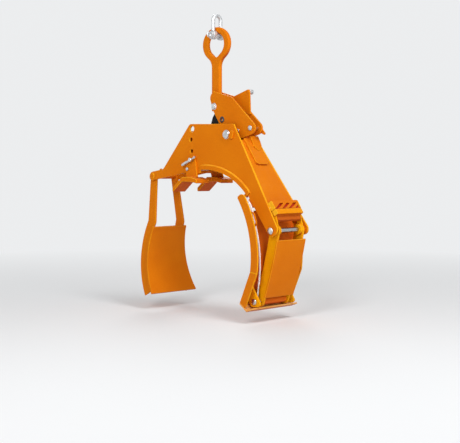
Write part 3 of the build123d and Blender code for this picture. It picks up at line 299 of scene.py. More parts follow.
def bead(path, facing, radius):
    """Weld bead: rings stand along a path, flattened towards the way the bead faces, swelling with each
    ripple and closing to a point at both ends."""
    path = np.asarray(path, float)
    along = np.concatenate([[0.0], np.linalg.norm(np.diff(path, axis=0), axis=1).cumsum()])
    even = np.linspace(0.0, along[-1], max(bead_least, int(along[-1] / bead_step)))
    line = np.stack([np.interp(even, along, path[:, k]) for k in range(3)], axis=1)
    aim = np.broadcast_to(np.asarray(facing, float), path.shape)
    out = np.stack([np.interp(even, along, aim[:, k]) for k in range(3)], axis=1)
    way = unit(np.gradient(line, axis=0))
    out = unit(out - (out * way).sum(axis=1, keepdims=True) * way)
    side = np.cross(way, out)
    from_end = np.minimum(even, along[-1] - even)
    closing = np.sqrt(np.clip(from_end / (bead_closing * radius), 0.0, 1.0))
    drift = np.convolve(bead_random.normal(0.0, bead_drift, len(even)), np.ones(3) / 3, "same")
    size = radius * closing * (1.0 + ripple_depth * np.cos(2 * math.pi * even / ripple) + drift)
    turn = np.linspace(0.0, 2 * math.pi, bead_sides, endpoint=False)
    ring = bead_flatness * np.cos(turn)[:, None] * out[:, None, :] + np.sin(turn)[:, None] * side[:, None, :]
    places = line[:, None, :] + size[:, None, None] * ring
    return places.reshape(-1, 3), quads(len(even), bead_sides)


def made(name, body, shapes, finish):
    """One piece from several shapes in millimetres, with doubles merged and faces turned outwards."""
    starts = np.cumsum([0] + [len(places) for places, faces in shapes])
    places = np.concatenate([places for places, faces in shapes]) * mm
    faces = [face + start for (_, corners), start in zip(shapes, starts) for face in corners]
    mesh = bpy.data.meshes.new(name)
    mesh.from_pydata(places.tolist(), [], [face.tolist() for face in faces])
    work = bmesh.new()
    work.from_mesh(mesh)
    bmesh.ops.remove_doubles(work, verts=work.verts, dist=merge_gap)
    bmesh.ops.recalc_face_normals(work, faces=work.faces)
    work.to_mesh(mesh)
    work.free()
    piece = linked(name, mesh, (finish,))
    mesh.set_sharp_from_angle(angle=crease_turn)
    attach(piece, body)
    return piece


def round_path(centre, radius, start, end):
    """Points round a circle across the pipe, as x and z, between two angles in degrees."""
    turn = np.radians(np.linspace(start, end, arc_points))
    return np.stack([centre[0] + radius * np.cos(turn), centre[1] + radius * np.sin(turn)], axis=1)


def at_y(flat, y):
    """Points across the pipe set at one or more y values."""
    flat = np.asarray(flat, float)
    return np.stack([flat[:, 0], np.broadcast_to(y, len(flat)), flat[:, 1]], axis=1)


def flat_plate(outline, near, far):
    """Flat plate: an outline across the pipe carried straight from one y to another, closed by two faces."""
    count = len(outline)
    places = np.concatenate([at_y(outline, near), at_y(outline, far)])
    ring = np.arange(count)
    return places, list(quads(2, count)) + [ring, ring + count]


rounded("arch_plate", arch_edge, painted)
strip_out = np.array([strip_way[1], -strip_way[0]])
strip_outline = np.array([strip_start + strip_way * along + strip_out * out for along, out in strip_corners])
strip_half = lean(strip_outline[:, 1]) - side_plate
# dark red enamel as painted shade, for parts that sit inside or under others
shade_red_enamel = enamel("shade_red_enamel", shade_red_deep, shade_red_light, few_chips)
made("leg_strip", "frame", [flat_plate(strip_outline, -strip_half, strip_half)], shade_red_enamel)
arch_line = round_path((0.0, 0.0), arch_outer, arch_weld_start, arch_weld_end)
arch_runs = []
for side in (-1.0, 1.0):
    facing = at_y(arch_line / arch_outer, side)
    arch_runs.append(bead(at_y(arch_line, side * lean(arch_line[:, 1])), facing, arch_bead))
# the long welds take the lighter edge colour as a painted highlight along the ledge
made("arch_welds", "frame", arch_runs, edge_highlight_and_chips)

# Leg of the frame: a flat cover between the side plates, a raised guide plate stitched to it, and the
# tapered stop for the lever welded on top. All three are plain plate.
crown = np.array([180.0, 684.0])
leg_way = np.array([0.561781, -0.827286])
leg_out = np.array([0.827286, 0.561781])
leg_edges = (("outer_cover", 1.2), ("guide_plate", 1.6), ("lever_stop", 1.4))
guide_start, guide_length, guide_half, guide_thickness = 96.0, 156.0, 46.0, 12.0
guide_stitches, stitch_length, stitch_bead = (112.0, 164.0, 214.0), 26.0, 2.6
end_stitches, end_stitch_half = (-18.0, 18.0), 13.0
stop_near, stop_far = -13.0, 46.0
stop_weld_start, stop_weld_end, stop_bead = 106.0, 150.0, 2.4
crown_welds, crown_weld_half, crown_weld_inset, crown_bead = (50.0, 74.0), 5.0, 6.0, 4.2


def on_leg(along, out, y):
    """Point on the leg: along its outer edge from the crown, out from that edge, and at y."""
    flat = crown + leg_way * along + leg_out * out
    return np.array([flat[0], y, flat[1]])


for node, edge in leg_edges:
    rounded(node, edge, painted)
leg_facing = np.array([leg_out[0], 0.0, leg_out[1]])
leg_runs = []
for side in (-1.0, 1.0):
    outward = leg_facing + np.array([0.0, side, 0.0])
    for start in guide_stitches:
        ends = [on_leg(along, 0.0, side * guide_half) for along in (start, start + stitch_length)]
        leg_runs.append(bead(ends, outward, stitch_bead))
guide_end = guide_start + guide_length
downward = leg_facing + np.array([leg_way[0], 0.0, leg_way[1]])
for y in end_stitches:
    ends = [on_leg(guide_end, 0.0, y - end_stitch_half), on_leg(guide_end, 0.0, y + end_stitch_half)]
    leg_runs.append(bead(ends, downward, stitch_bead))
for y, side in ((stop_near, -1.0), (stop_far, 1.0)):
    ends = [on_leg(along, guide_thickness, y) for along in (stop_weld_start, stop_weld_end)]
    leg_runs.append(bead(ends, leg_facing + np.array([0.0, side, 0.0]), stop_bead))
for along in crown_welds:
    y = crown_weld_inset - float(lean(on_leg(along, 0.0, 0.0)[2]))
    ends = [on_leg(along - crown_weld_half, 0.0, y), on_leg(along + crown_weld_half, 0.0, y)]
    leg_runs.append(bead(ends, leg_facing, crown_bead))
made("leg_welds", "frame", leg_runs, orange_enamel)

# Tail end: a back plate closes the frame under its sloping edge, a round tube joins the two tails, its
# ends welded over and ground, and the fixed jaw hangs from it, two webs with a rolled pad that takes the
# far side of the pipe.
tail = (-402.0, 420.0)
tail_tube_radius = 16.0
tail_edge, tail_bead = 1.4, 3.0
jaw_back, jaw_inset, jaw_web = 394.0, 10.0, 10.0
jaw_weld_start, jaw_weld_end, jaw_bead = 160.0, 208.0, 3.4
tail_top = np.array([(-352.0, 0.0, 452.0), (-336.0, 0.0, 459.5)])
tail_top_inset, tail_top_facing, tail_top_bead = 5.0, (-0.4, 0.0, 0.9), 5.0
ground_weld = [(0.0, 0.7), (17.0, 0.7), (19.5, 0.0), (19.5, -1.5), (0.0, -1.5)]
turned_sides = 48
for node in ("back_plate", "tail_tube", "jaw_web_front", "jaw_web_rear", "jaw_pad"):
    rounded(node, tail_edge, painted)
tail_ring = round_path(tail, tail_tube_radius, 0.0, 360.0)
jaw_line = round_path((0.0, 0.0), jaw_back, jaw_weld_start, jaw_weld_end)
tail_runs = []
for side in (-1.0, 1.0):
    ring_y = side * (lean(tail_ring[:, 1]) - side_plate)
    ring_facing = at_y((tail_ring - np.array(tail)) / tail_tube_radius, -side)
    tail_runs.append(bead(at_y(tail_ring, ring_y), ring_facing, tail_bead))
    for inset, way in ((jaw_inset, side), (jaw_inset + jaw_web, -side)):
        jaw_y = side * (lean(jaw_line[:, 1]) - inset)
        tail_runs.append(bead(at_y(jaw_line, jaw_y), at_y(jaw_line / jaw_back, way), jaw_bead))
tail_top[:, 1] = tail_top_inset - lean(tail_top[:, 2])
tail_runs.append(bead(tail_top, tail_top_facing, tail_top_bead))
made("tail_welds", "frame", tail_runs, orange_enamel)


def turning(stations, base, way, flats=0.0):
    """Turned shape: rings of a radius at a distance along an axis, joined in order; a hexagon of the
    given width across its flats trims the rings that are wider than it."""
    radius, along = np.asarray(stations, float).T
    way = unit(way)
    spare = np.array([0.0, 0.0, 1.0]) if abs(way[2]) < 0.9 else np.array([1.0, 0.0, 0.0])
    across = unit(np.cross(way, spare))
    upright = np.cross(way, across)
    turn = np.linspace(0.0, 2 * math.pi, turned_sides, endpoint=False)
    ring = np.repeat(radius[:, None], turned_sides, axis=1)
    if flats:
        sixth = math.pi / 3
        ring = np.minimum(ring, flats / 2 / np.cos((turn + sixth / 2) % sixth - sixth / 2))
    spokes = np.cos(turn)[:, None] * across + np.sin(turn)[:, None] * upright
    places = np.asarray(base, float) + along[:, None, None] * way + ring[:, :, None] * spokes
    return places.reshape(-1, 3), quads(len(radius), turned_sides)


tail_shapes = []
for side in (-1.0, 1.0):
    tail_place = (tail[0], side * float(lean(tail[1])), tail[1])
    tail_shapes.append(turning(ground_weld, tail_place, (0.0, side, splay)))
made("tail_tube_ends", "frame", tail_shapes, orange_enamel)

# Pivot of the lever and lower pin of the leg: turned zinc-plated pins with domed heads on the near
# side, centred by plain collars. A small keeper plate stops the pivot pin from turning, and the lower
# pin runs in a sleeve that is worn bright.
zinc_deep, zinc_light = (0.50, 0.51, 0.52), (0.80, 0.81, 0.82)
worn_deep, worn_light = (0.34, 0.35, 0.36), (0.50, 0.51, 0.52)
pivot = (139.0, 631.0)
pivot_front, washer_front, lower_pin_front, sleeve_front = -78.2, -69.2, -133.0, -85.0
washer = [(15.2, 0.0), (23.0, 0.0), (23.5, 0.6), (23.5, 3.2), (23.0, 3.8), (15.2, 3.8), (15.2, 0.0)]
sleeve = [(10.8, 0.0), (11.5, 0.5), (11.5, 169.5), (10.8, 170.0), (10.8, 0.0)]
dome_steps, head_break, shank_break = 9, 0.6, 2.0
collar_edge, keeper_edge, keeper_bead = 0.8, 1.5, 2.6
keeper_welds = (((165.0, 651.0), (186.0, 646.5)), ((163.0, 611.5), (184.0, 606.5)))
keeper_facing = (0.2, -1.0)
along_y = (0.0, 1.0, 0.0)
plating_noise, plating_dull_noise, turning_noise = (70.0, 5.0), (150.0, 3.0), (900.0, 2.0)
turning_depth, turning_strength = 0.0002, 0.15


def plated_steel(name, deep, light, smooth, rough, metal):
    """Plated steel: two greys mixed by cloudy noise, brighter where the plating is smooth, with fine
    turning marks in the relief."""
    finish, tree, shader, place = new_finish(name)
    at = place.outputs["Object"]
    cloud = noise_range(tree, at, plating_noise)
    tree.links.new(mixed(tree, cloud, deep, light), shader.inputs["Base Color"])
    tree.links.new(noise_range(tree, at, plating_dull_noise, smooth, rough), shader.inputs["Roughness"])
    shader.inputs["Metallic"].default_value = metal
    bumped(tree, shader, noise_range(tree, at, turning_noise), turning_depth, turning_strength)
    return finish


def dome(radius, rise, top, shank, length):
    """Stations of a pin: a domed head of a radius and a thickness, and the shank behind it."""
    sweep = np.radians(np.linspace(0.0, 90.0, dome_steps))
    cap = np.stack([radius * np.sin(sweep), rise * (1.0 - np.cos(sweep))], axis=1)
    rest = [(radius, top - head_break), (radius - head_break, top), (shank, top)]
    rest += [(shank, length - shank_break), (shank - shank_break, length), (0.0, length)]
    return np.concatenate([cap, rest])


def along_pipe(stations, place, front, flats=0.0):
    """Turned shape whose axis lies along the pipe through a place and starts at the front."""
    return turning(stations, (place[0], front, place[1]), along_y, flats)


bright_zinc = plated_steel("bright_zinc", zinc_deep, zinc_light, smooth=0.20, rough=0.36, metal=1.0)
for node in ("pivot_collar_front", "pivot_collar_rear", "lower_collar_front", "lower_collar_rear"):
    rounded(node, collar_edge, painted)
rounded("pivot_keeper", keeper_edge, painted)
pivot_stations = dome(radius=20.0, rise=4.0, top=9.0, shank=15.0, length=147.3)
pivot_shapes = [along_pipe(pivot_stations, pivot, pivot_front), along_pipe(washer, pivot, washer_front)]
pivot_pin = made("pivot_pin_turned", "frame", pivot_shapes, bright_zinc)
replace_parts(pivot_pin, "pivot_pin")
lower_stations = dome(radius=17.0, rise=5.5, top=10.0, shank=11.0, length=256.0)
lower_shape = along_pipe(lower_stations, lower_pin, lower_pin_front)
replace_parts(made("lower_pin_turned", "frame", [lower_shape], bright_zinc), "lower_pin")
worn_steel = plated_steel("worn_steel", worn_deep, worn_light, smooth=0.24, rough=0.34, metal=1.0)
sleeve_shape = along_pipe(sleeve, lower_pin, sleeve_front)
made("lower_pin_sleeve", "frame", [sleeve_shape], worn_steel)
keeper_runs = []
for start, end in keeper_welds:
    flat = np.array([start, end])
    upward = 1.0 if start[1] > pivot[1] else -1.0
    keeper_runs.append(bead(at_y(flat, -lean(flat[:, 1])), (*keeper_facing, upward), keeper_bead))
made("keeper_welds", "frame", keeper_runs, orange_enamel)

# Support foot: an upright plate outside each side plate, welded to a bent saddle of thick flat bar that
# rests on the pipe. A bolt and the setting pin hold the foot at the chosen height.
saddle_top = 415.0
foot_left, foot_right = -122.0, -48.0
foot_plate = 10.0
foot_edge, saddle_edge, foot_bead = 1.5, 3.5, 3.6
foot_bolt, foot_bolt_front, foot_nut_front = (-116.0, 457.0), -103.7, 95.4
nut_stations = [(0.0, 0.0), (11.2, 0.0), (14.4, 1.8), (14.4, 10.2), (11.2, 12.0), (0.0, 12.0)]
foot_nut_width, foot_nut_height, foot_nut_flats = 0.92, 0.6, 23.0
pin_edge = 0.8
handle_low, handle_way = (-154.66, -99.13, 476.69), (0.9184, 0.0, 0.3955)
grip = [(0.0, 0.0), (6.6, 0.6), (8.2, 3.0), (8.2, 40.0), (6.0, 50.0), (5.5, 56.0), (5.5, 97.0), (6.6, 99.0),
        (6.6, 105.5), (5.2, 108.0), (0.0, 108.0)]
for node in ("foot_plate_front", "foot_plate_rear"):
    rounded(node, foot_edge, painted)
for node in ("foot_saddle_front", "foot_saddle_rear"):
    rounded(node, saddle_edge, painted)
foot_runs = []
foot_line = np.array([(foot_left, saddle_top), (foot_right, saddle_top)])
for side in (-1.0, 1.0):
    for stand, way in ((foot_plate, side), (0.0, -side)):
        foot_y = side * (lean(saddle_top) + stand)
        foot_runs.append(bead(at_y(foot_line, foot_y), (0.0, way, 1.0), foot_bead))
made("foot_welds", "frame", foot_runs, orange_enamel)


def nut(width, height):
    """Stations of a plain nut, scaled in width and in height."""
    return [(radius * width, along * height) for radius, along in nut_stations]


bolt_stations = dome(radius=9.0, rise=2.6, top=6.0, shank=8.0, length=206.4)
foot_nut = nut(foot_nut_width, foot_nut_height)
bolt_shapes = [along_pipe(bolt_stations, foot_bolt, foot_bolt_front)]
bolt_shapes.append(along_pipe(foot_nut, foot_bolt, foot_nut_front, foot_nut_flats))
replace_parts(made("foot_bolt_turned", "frame", bolt_shapes, bright_zinc), "foot_bolt")
rounded("setting_pin", pin_edge, (bright_zinc,))
handle_shape = turning(grip, handle_low, handle_way)
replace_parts(made("pin_handle_turned", "setting_pin", [handle_shape], bright_zinc), "pin_handle")

# Suspension lever: two cheek plates bolted round the foot of the lifting bar, with the release ear
# welded to the rear cheek and a catch tab on the corner pin. Hexagon bolts and nuts are zinc plated, and
# a moulded rubber buffer sits between the lever and the frame.
cheek_outer = 30.0
upper_bolt, upper_front = (14.0, 780.0), -39.4
lower_bolt, lower_front, recess_stand = (72.0, 710.0), -24.0, 2.0
corner, corner_front = (270.0, 661.0), -37.0
ear_tip, ear_bolt_front, ear_plug_front = (213.0, 847.0), 11.0, 10.6
ear_weld, ear_facing, ear_bead = [(120.0, 20.0, 820.0), (220.0, 20.0, 750.0)], (0.57, 1.0, 0.82), 3.2
lever_edges = (
    ("lever_cheek_front", 1.6), ("lever_cheek_rear", 1.6), ("release_ear", 1.4), ("catch_tab", 1.2),
    ("lifting_bar", 1.2),
)
buffer_edge = 2.5
rubber_deep, rubber_dusty = (0.005, 0.005, 0.005), (0.018, 0.017, 0.016)
rubber_noise, rubber_dull_noise, rubber_grain = (45.0, 5.0), (120.0, 3.0), (700.0, 2.0)
rubber_smooth, rubber_rough, rubber_gloss = 0.55, 0.8, 0.15
rubber_depth, rubber_strength = 0.0004, 0.3
ring_shade_deep, ring_shade_light = (0.03, 0.03, 0.033), (0.09, 0.09, 0.09)
head_flats, nut_flats, nut_height = 28.0, 26.0, 0.66
ear_nuts, ear_nut_width, ear_nut_flats = ((20.0, 0.83), (38.0, 0.66)), 0.93, 23.0
upper_head = [(0.0, 0.4), (13.4, 0.4), (13.8, 0.0), (14.2, 0.4), (16.2, 1.6), (16.2, 7.6), (0.0, 7.6)]
upper_washer = [(0.0, 7.0), (17.4, 7.0), (18.0, 7.5), (18.0, 9.4), (0.0, 9.4)]
upper_stud = [(0.0, 8.0), (10.0, 8.0), (10.0, 76.5), (8.5, 78.0), (0.0, 78.0)]
lower_stud = [(0.0, 0.0), (8.6, 0.0), (10.0, 1.5), (10.0, 56.0), (0.0, 56.0)]
recess = [(9.0, 1.0), (9.0, 0.0), (15.0, 0.0), (16.0, 0.8), (16.0, 3.0), (9.0, 3.0), (9.0, 1.0)]
ear_stud = [(0.0, 0.0), (5.5, 0.0), (7.0, 1.5), (7.0, 37.5), (5.5, 39.0), (0.0, 39.0)]
ear_plug = [(0.0, 0.0), (6.5, 0.0), (9.0, 0.9), (9.0, 2.6), (0.0, 2.6)]
for node, edge in lever_edges:
    rounded(node, edge, painted)
ear_run = bead(ear_weld, ear_facing, ear_bead)
made("ear_welds", "suspension", [ear_run], orange_enamel)


def moulded_rubber(name, deep, dusty):
    """Moulded rubber: near black, greyed by dust in cloudy patches, dull, with a fine moulded grain."""
    finish, tree, shader, place = new_finish(name)
    at = place.outputs["Object"]
    cloud = noise_range(tree, at, rubber_noise)
    tree.links.new(mixed(tree, cloud, deep, dusty), shader.inputs["Base Color"])
    dull = noise_range(tree, at, rubber_dull_noise, rubber_smooth, rubber_rough)
    tree.links.new(dull, shader.inputs["Roughness"])
    shader.inputs["Specular IOR Level"].default_value = rubber_gloss
    bumped(tree, shader, noise_range(tree, at, rubber_grain), rubber_depth, rubber_strength)
    return finish


black_rubber = moulded_rubber("black_rubber", rubber_deep, rubber_dusty)
rounded("lever_buffer", buffer_edge, (black_rubber,))
plain_nut = nut(1.0, nut_height)
upper_shapes = [along_pipe(upper_head, upper_bolt, upper_front, head_flats)]
upper_shapes += [along_pipe(stations, upper_bolt, upper_front) for stations in (upper_washer, upper_stud)]
upper_shapes.append(along_pipe(plain_nut, upper_bolt, cheek_outer, nut_flats))
upper_hexagon = made("upper_bolt_hexagon", "suspension", upper_shapes, bright_zinc)
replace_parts(upper_hexagon, "lever_bolt_upper")
lower_shapes = [along_pipe(lower_stud, lower_bolt, lower_front)]
lower_shapes.append(along_pipe(plain_nut, lower_bolt, cheek_outer, nut_flats))
lower_hexagon = made("lower_bolt_hexagon", "suspension", lower_shapes, bright_zinc)
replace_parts(lower_hexagon, "lever_bolt_lower")
# black ring round the lower bolt's hole: painted shade of the recess
ring_shade_black = plated_steel("ring_shade_black", ring_shade_deep, ring_shade_light, smooth=0.35, rough=0.5, metal=0.6)
recess_shape = along_pipe(recess, lower_bolt, -cheek_outer - recess_stand)
made("lower_bolt_ring", "suspension", [recess_shape], ring_shade_black)
rounded("drive_pin", pin_edge, (bright_zinc,))
corner_stations = dome(radius=13.0, rise=3.6, top=7.0, shank=9.0, length=81.0)
corner_shape = along_pipe(corner_stations, corner, corner_front)
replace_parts(made("corner_pin_turned", "suspension", [corner_shape], bright_zinc), "corner_pin")
ear_shapes = [along_pipe(ear_stud, ear_tip, ear_bolt_front)]
for y, height in ear_nuts:
    ear_shapes.append(along_pipe(nut(ear_nut_width, height), ear_tip, y, ear_nut_flats))
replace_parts(made("ear_bolt_hexagon", "suspension", ear_shapes, bright_zinc), "ear_bolt")
ear_plug_shape = along_pipe(ear_plug, ear_tip, ear_plug_front)
made("ear_bolt_weld", "suspension", [ear_plug_shape], orange_enamel)

# Bow shackle: drop-forged and hot-dip galvanised, a dull grey with pale and dark spangles. Its screw pin
# has a collar and a flattened eye for tightening it.
galvanised_deep, galvanised_light = (0.50, 0.51, 0.52), (0.72, 0.73, 0.74)
spangle_scale, spangle_smooth, spangle_rough, spangle_metal = 110.0, 0.34, 0.56, 0.7
dip_noise, dip_depth, dip_strength = (260.0, 4.0), 0.0004, 0.12
bow_edge = 2.0
shackle_pin, shackle_pin_front, pin_eye_y = (5.0, 1147.7), -47.9, -59.0
pin_eye_radius, pin_eye_wire, pin_eye_flatness = 9.5, 5.2, 0.8
eye_turns, eye_rolls = 48, 16
pin_shank = [(0.0, 0.0), (16.0, 0.0), (17.0, 1.0), (17.0, 8.0), (16.0, 9.0), (11.0, 9.0), (11.0, 94.4),
             (9.0, 96.4), (0.0, 96.4)]


def spangled(name, deep, light):
    """Galvanised steel: cells a few millimetres wide, each with its own grey and its own gloss."""
    finish, tree, shader, place = new_finish(name)
    at = place.outputs["Object"]
    cells = tree.nodes.new("ShaderNodeTexVoronoi")
    cells.inputs["Scale"].default_value = spangle_scale
    tree.links.new(at, cells.inputs["Vector"])
    split = tree.nodes.new("ShaderNodeSeparateColor")
    tree.links.new(cells.outputs["Color"], split.inputs[0])
    tree.links.new(mixed(tree, split.outputs[0], deep, light), shader.inputs["Base Color"])
    dull = remapped(tree, split.outputs[1], 0.0, 1.0, spangle_smooth, spangle_rough)
    tree.links.new(dull, shader.inputs["Roughness"])
    shader.inputs["Metallic"].default_value = spangle_metal
    bumped(tree, shader, noise_range(tree, at, dip_noise), dip_depth, dip_strength)
    return finish


def ring_eye(centre, radius, wire, flatness):
    """Flattened ring: a circle of wire, pressed flat, carried round a larger circle along the pin."""
    turns = np.linspace(0.0, 2 * math.pi, eye_turns, endpoint=False)
    rolls = np.linspace(0.0, 2 * math.pi, eye_rolls, endpoint=False)
    turn, roll = np.meshgrid(turns, rolls, indexing="ij")
    spread = radius + wire * np.cos(roll)
    offsets = [flatness * wire * np.sin(roll), spread * np.cos(turn), spread * np.sin(turn)]
    places = np.asarray(centre, float) + np.stack(offsets, axis=-1).reshape(-1, 3)
    return places, quads(eye_turns + 1, eye_rolls) % (eye_turns * eye_rolls)


galvanised = spangled("galvanised_zinc", galvanised_deep, galvanised_light)
rounded("shackle_bow", bow_edge, (galvanised,))
eye_centre = (shackle_pin[0], pin_eye_y, shackle_pin[1])
shackle_shapes = [along_pipe(pin_shank, shackle_pin, shackle_pin_front)]
shackle_shapes.append(ring_eye(eye_centre, pin_eye_radius, pin_eye_wire, pin_eye_flatness))
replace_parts(made("shackle_screw_pin", "shackle", shackle_shapes, galvanised), "shackle_pin")

# Push rod in the leg and the notched bar across its foot, which bears on the heel bar of the arm. The
# bars are heavy flat with well-rounded ends, coloured pale yellow as a painted highlight. The slanting
# teeth are cut into the face of the upper bar, and a dark red strip at the bottom of the cuts paints the
# shade in them. The rod is dark red as painted shade, the heel bar a lit yellow with a band of painted shade
# on its step.
notch_shade_deep, notch_shade_light = (0.50, 0.022, 0.012), (0.56, 0.035, 0.012)
heel_lit_deep, heel_lit_light, heel_shade = (0.84, 0.29, 0.002), (0.88, 0.35, 0.003), (0.46, 0.075, 0.010)
bar_end_highlight_deep, bar_end_highlight_light = (0.93, 0.47, 0.012), (0.97, 0.60, 0.05)
rod_edge, heel_edge, tooth_edge = 1.2, 3.0, 1.0
heel_step_middle, heel_step_half, heel_step_fade, heel_step_share = 567.0, 14.0, 0.9, 0.85
foot_top, foot_bottom, foot_half = 478.0, 524.0, 93.0
foot_back, foot_front, foot_lap = 0.5, 27.0, 0.5
block_top, block_back, block_half = 501.05, -11.74, 88.0
tooth_depth, tooth_pitch, tooth_count = 10.0, 49.0, 3
tooth_cut = ((16.0, 0.0), (51.0, 15.5), (75.0, 31.0), (50.0, 31.0), (0.0, 0.0))
last_cut_start, last_cut_high, last_tooth_start, last_tooth_high = 54.0, 24.2, 70.0, 10.2
ease_steps, comb_ease, last_tooth_ease, bar_ease = 7, 4.0, 3.0, 5.0
floor_inset, floor_margin, floor_rise = 1.5, 1.0, 0.4
bar_low, bar_high, bar_half = 1.0, 26.5, 92.0
bars = (("rod_foot_ends", "push_rod", 478.5, 523.5, 98.5), ("heel_bar_ends", "arm", 525.0, 552.5, 96.5))
# the push rod is dark red as painted shade
rounded("push_rod", rod_edge, (shade_red_enamel, edge_highlight_and_chips))


def banded(finish, through, along, half, fade, colour, share):
    """A band of another colour on a finish: full where the distance to a line across the pipe is under a
    fading share of the half width, and gone at the half width."""
    tree = finish.node_tree
    shader = tree.nodes["Principled BSDF"]
    at = tree.nodes["Texture Coordinate"].outputs["Object"]
    middle = (through[0] * mm, 0.0, through[1] * mm)
    away = worked(tree, "ShaderNodeVectorMath", "SUBTRACT", [at, middle], "Vector")
    square = (along[1], 0.0, -along[0])
    across = worked(tree, "ShaderNodeVectorMath", "DOT_PRODUCT", [away, square])
    distance = worked(tree, "ShaderNodeMath", "ABSOLUTE", [across])
    inside = remapped(tree, distance, half * mm, half * mm * fade, 0.0, share)
    tone = shader.inputs["Base Color"].links[0].from_socket
    tree.links.new(mixed(tree, inside, tone, colour), shader.inputs["Base Color"])


# heel bar: a lighter yellow as painted light, with a band of painted shade on its step
heel_lit_and_shaded_enamel = enamel("heel_lit_and_shaded_enamel", heel_lit_deep, heel_lit_light, few_chips)
heel_step = crown + leg_way * heel_step_middle
banded(heel_lit_and_shaded_enamel, heel_step, leg_out, heel_step_half, heel_step_fade, heel_shade, heel_step_share)
rounded("heel_bar", heel_edge, (heel_lit_and_shaded_enamel,))


def eased(outline, radius):
    """Outline whose corners are eased: each becomes a parabola between the points a radius before and
    after it."""
    outline = np.asarray(outline, float)
    before = outline + radius * unit(np.roll(outline, 1, axis=0) - outline)
    after = outline + radius * unit(np.roll(outline, -1, axis=0) - outline)
    share = np.linspace(0.0, 1.0, ease_steps)[None, :, None]
    curve = (1 - share) ** 2 * before[:, None] + 2 * share * (1 - share) * outline[:, None]
    return (curve + share ** 2 * after[:, None]).reshape(-1, 2)


def leg_plate(outline, low, high):
    """Flat plate on the leg: an outline across and along the leg carried straight out from one distance to
    another, closed by two faces."""
    across, along = np.asarray(outline, float).T
    rings = []
    for out in (low, high):
        flat = crown + along[:, None] * leg_way + out * leg_out
        rings.append(np.stack([flat[:, 0], across, flat[:, 1]], axis=1))
    ring = np.arange(len(across))
    return np.concatenate(rings), list(quads(2, len(across))) + [ring, ring + len(across)]


def leg_block(half, top, bottom, low, high):
    """Plain block on the leg between two distances along it and two distances out from it."""
    return leg_plate([(-half, top), (half, top), (half, bottom), (-half, bottom)], low, high)


tooth_floor = foot_front - tooth_depth
comb = [(-foot_half, foot_top), (foot_half, foot_top), (foot_half, foot_bottom - last_cut_high)]
comb.append((last_cut_start, foot_bottom))
for step in reversed(range(tooth_count)):
    start = -foot_half + step * tooth_pitch
    comb += [(start + across, foot_bottom - height) for across, height in tooth_cut]
last_tooth = [(last_tooth_start, foot_bottom), (foot_half, foot_bottom - last_tooth_high)]
last_tooth.append((foot_half, foot_bottom))
foot_shapes = [leg_plate(eased(comb, comb_ease), tooth_floor - foot_lap, foot_front)]
foot_shapes.append(leg_plate(eased(last_tooth, last_tooth_ease), tooth_floor - foot_lap, foot_front))
foot_shapes.append(leg_block(foot_half, foot_top, foot_bottom, foot_back, tooth_floor))
foot_shapes.append(leg_block(block_half, block_top, foot_bottom, block_back, foot_back + foot_lap))
foot_bar = made("rod_foot_bar", "push_rod", foot_shapes, orange_enamel)
break_edges(foot_bar, tooth_edge)
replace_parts(foot_bar, "rod_foot")
# dark red strip at the bottom of the cuts: painted shade
notch_shade_enamel = enamel("notch_shade_enamel", notch_shade_deep, notch_shade_light, few_chips)
floor_low, floor_high = tooth_floor - floor_margin, tooth_floor + floor_rise
floor_top, floor_bottom = foot_top + floor_inset, foot_bottom - floor_margin
cut_floor = leg_block(foot_half - floor_inset, floor_top, floor_bottom, floor_low, floor_high)
foot_cuts = made("rod_foot_cuts", "push_rod", [cut_floor], notch_shade_enamel)
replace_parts(foot_cuts, "rod_foot")
# pale yellow bar ends: painted highlight
bar_end_highlight_enamel = enamel("bar_end_highlight_enamel", bar_end_highlight_deep, bar_end_highlight_light, few_chips)
for name, body, start, end, bar_reach in bars:
    bar_corners = ((start, bar_low), (end, bar_low), (end, bar_high), (start, bar_high))
    bar_outline = eased([crown + leg_way * along + leg_out * out for along, out in bar_corners], bar_ease)
    bar_shapes = [flat_plate(bar_outline, side * bar_half, side * bar_reach) for side in (-1.0, 1.0)]
    made(name, body, bar_shapes, bar_end_highlight_enamel)

# Arm: two curved side plates with bushes, a rolled cover welded over them and a cross tube at the foot,
# turning on the lower pin. The pin at its foot carries the shoe.
lit_yellow_deep, lit_yellow_light = (0.90, 0.37, 0.002), (0.94, 0.44, 0.003)
arm_edge, tube_edge = 1.6, 0.8
arm_centre, arm_cover_inner, arm_half = (-1471.78, 522.143), 2025.273, 96.0
cover_weld_start, cover_weld_end, cover_bead = -19.9, -11.75, 3.4
heel_low, heel_half = 553.3, 86.0
heel_weld_back, heel_weld_front, heel_bead = -9.0, 6.0, 2.6
shoe_pin, shoe_pin_front = (392.0, -193.0), -139.0
# arm plates and shoe lugs: a lighter yellow enamel as painted light
lit_yellow_enamel = enamel("lit_yellow_enamel", lit_yellow_deep, lit_yellow_light, few_chips)
for node in ("arm_plate_front", "arm_plate_rear"):
    rounded(node, arm_edge, (lit_yellow_enamel, edge_highlight_and_chips))
rounded("arm_cover", arm_edge, painted)
# the cross tube is dark red as painted shade
rounded("arm_cross_tube", tube_edge, (shade_red_enamel, edge_highlight_and_chips))
cover_line = round_path(arm_centre, arm_cover_inner, cover_weld_start, cover_weld_end)
cover_in = at_y((np.array(arm_centre) - cover_line) / arm_cover_inner, 0.0)
arm_runs = []
for side in (-1.0, 1.0):
    outward = np.array([0.0, side, 0.0])
    arm_runs.append(bead(at_y(cover_line, side * arm_half), cover_in + outward, cover_bead))
    ends = [on_leg(heel_low, out, side * heel_half) for out in (heel_weld_back, heel_weld_front)]
    arm_runs.append(bead(ends, (-leg_way[0], -side, -leg_way[1]), heel_bead))
made("arm_welds", "arm", arm_runs, orange_enamel)
shoe_pin_stations = dome(radius=16.0, rise=4.5, top=6.0, shank=10.0, length=280.0)
shoe_pin_shape = along_pipe(shoe_pin_stations, shoe_pin, shoe_pin_front)
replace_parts(made("shoe_pin_turned", "arm", [shoe_pin_shape], bright_zinc), "shoe_pin")

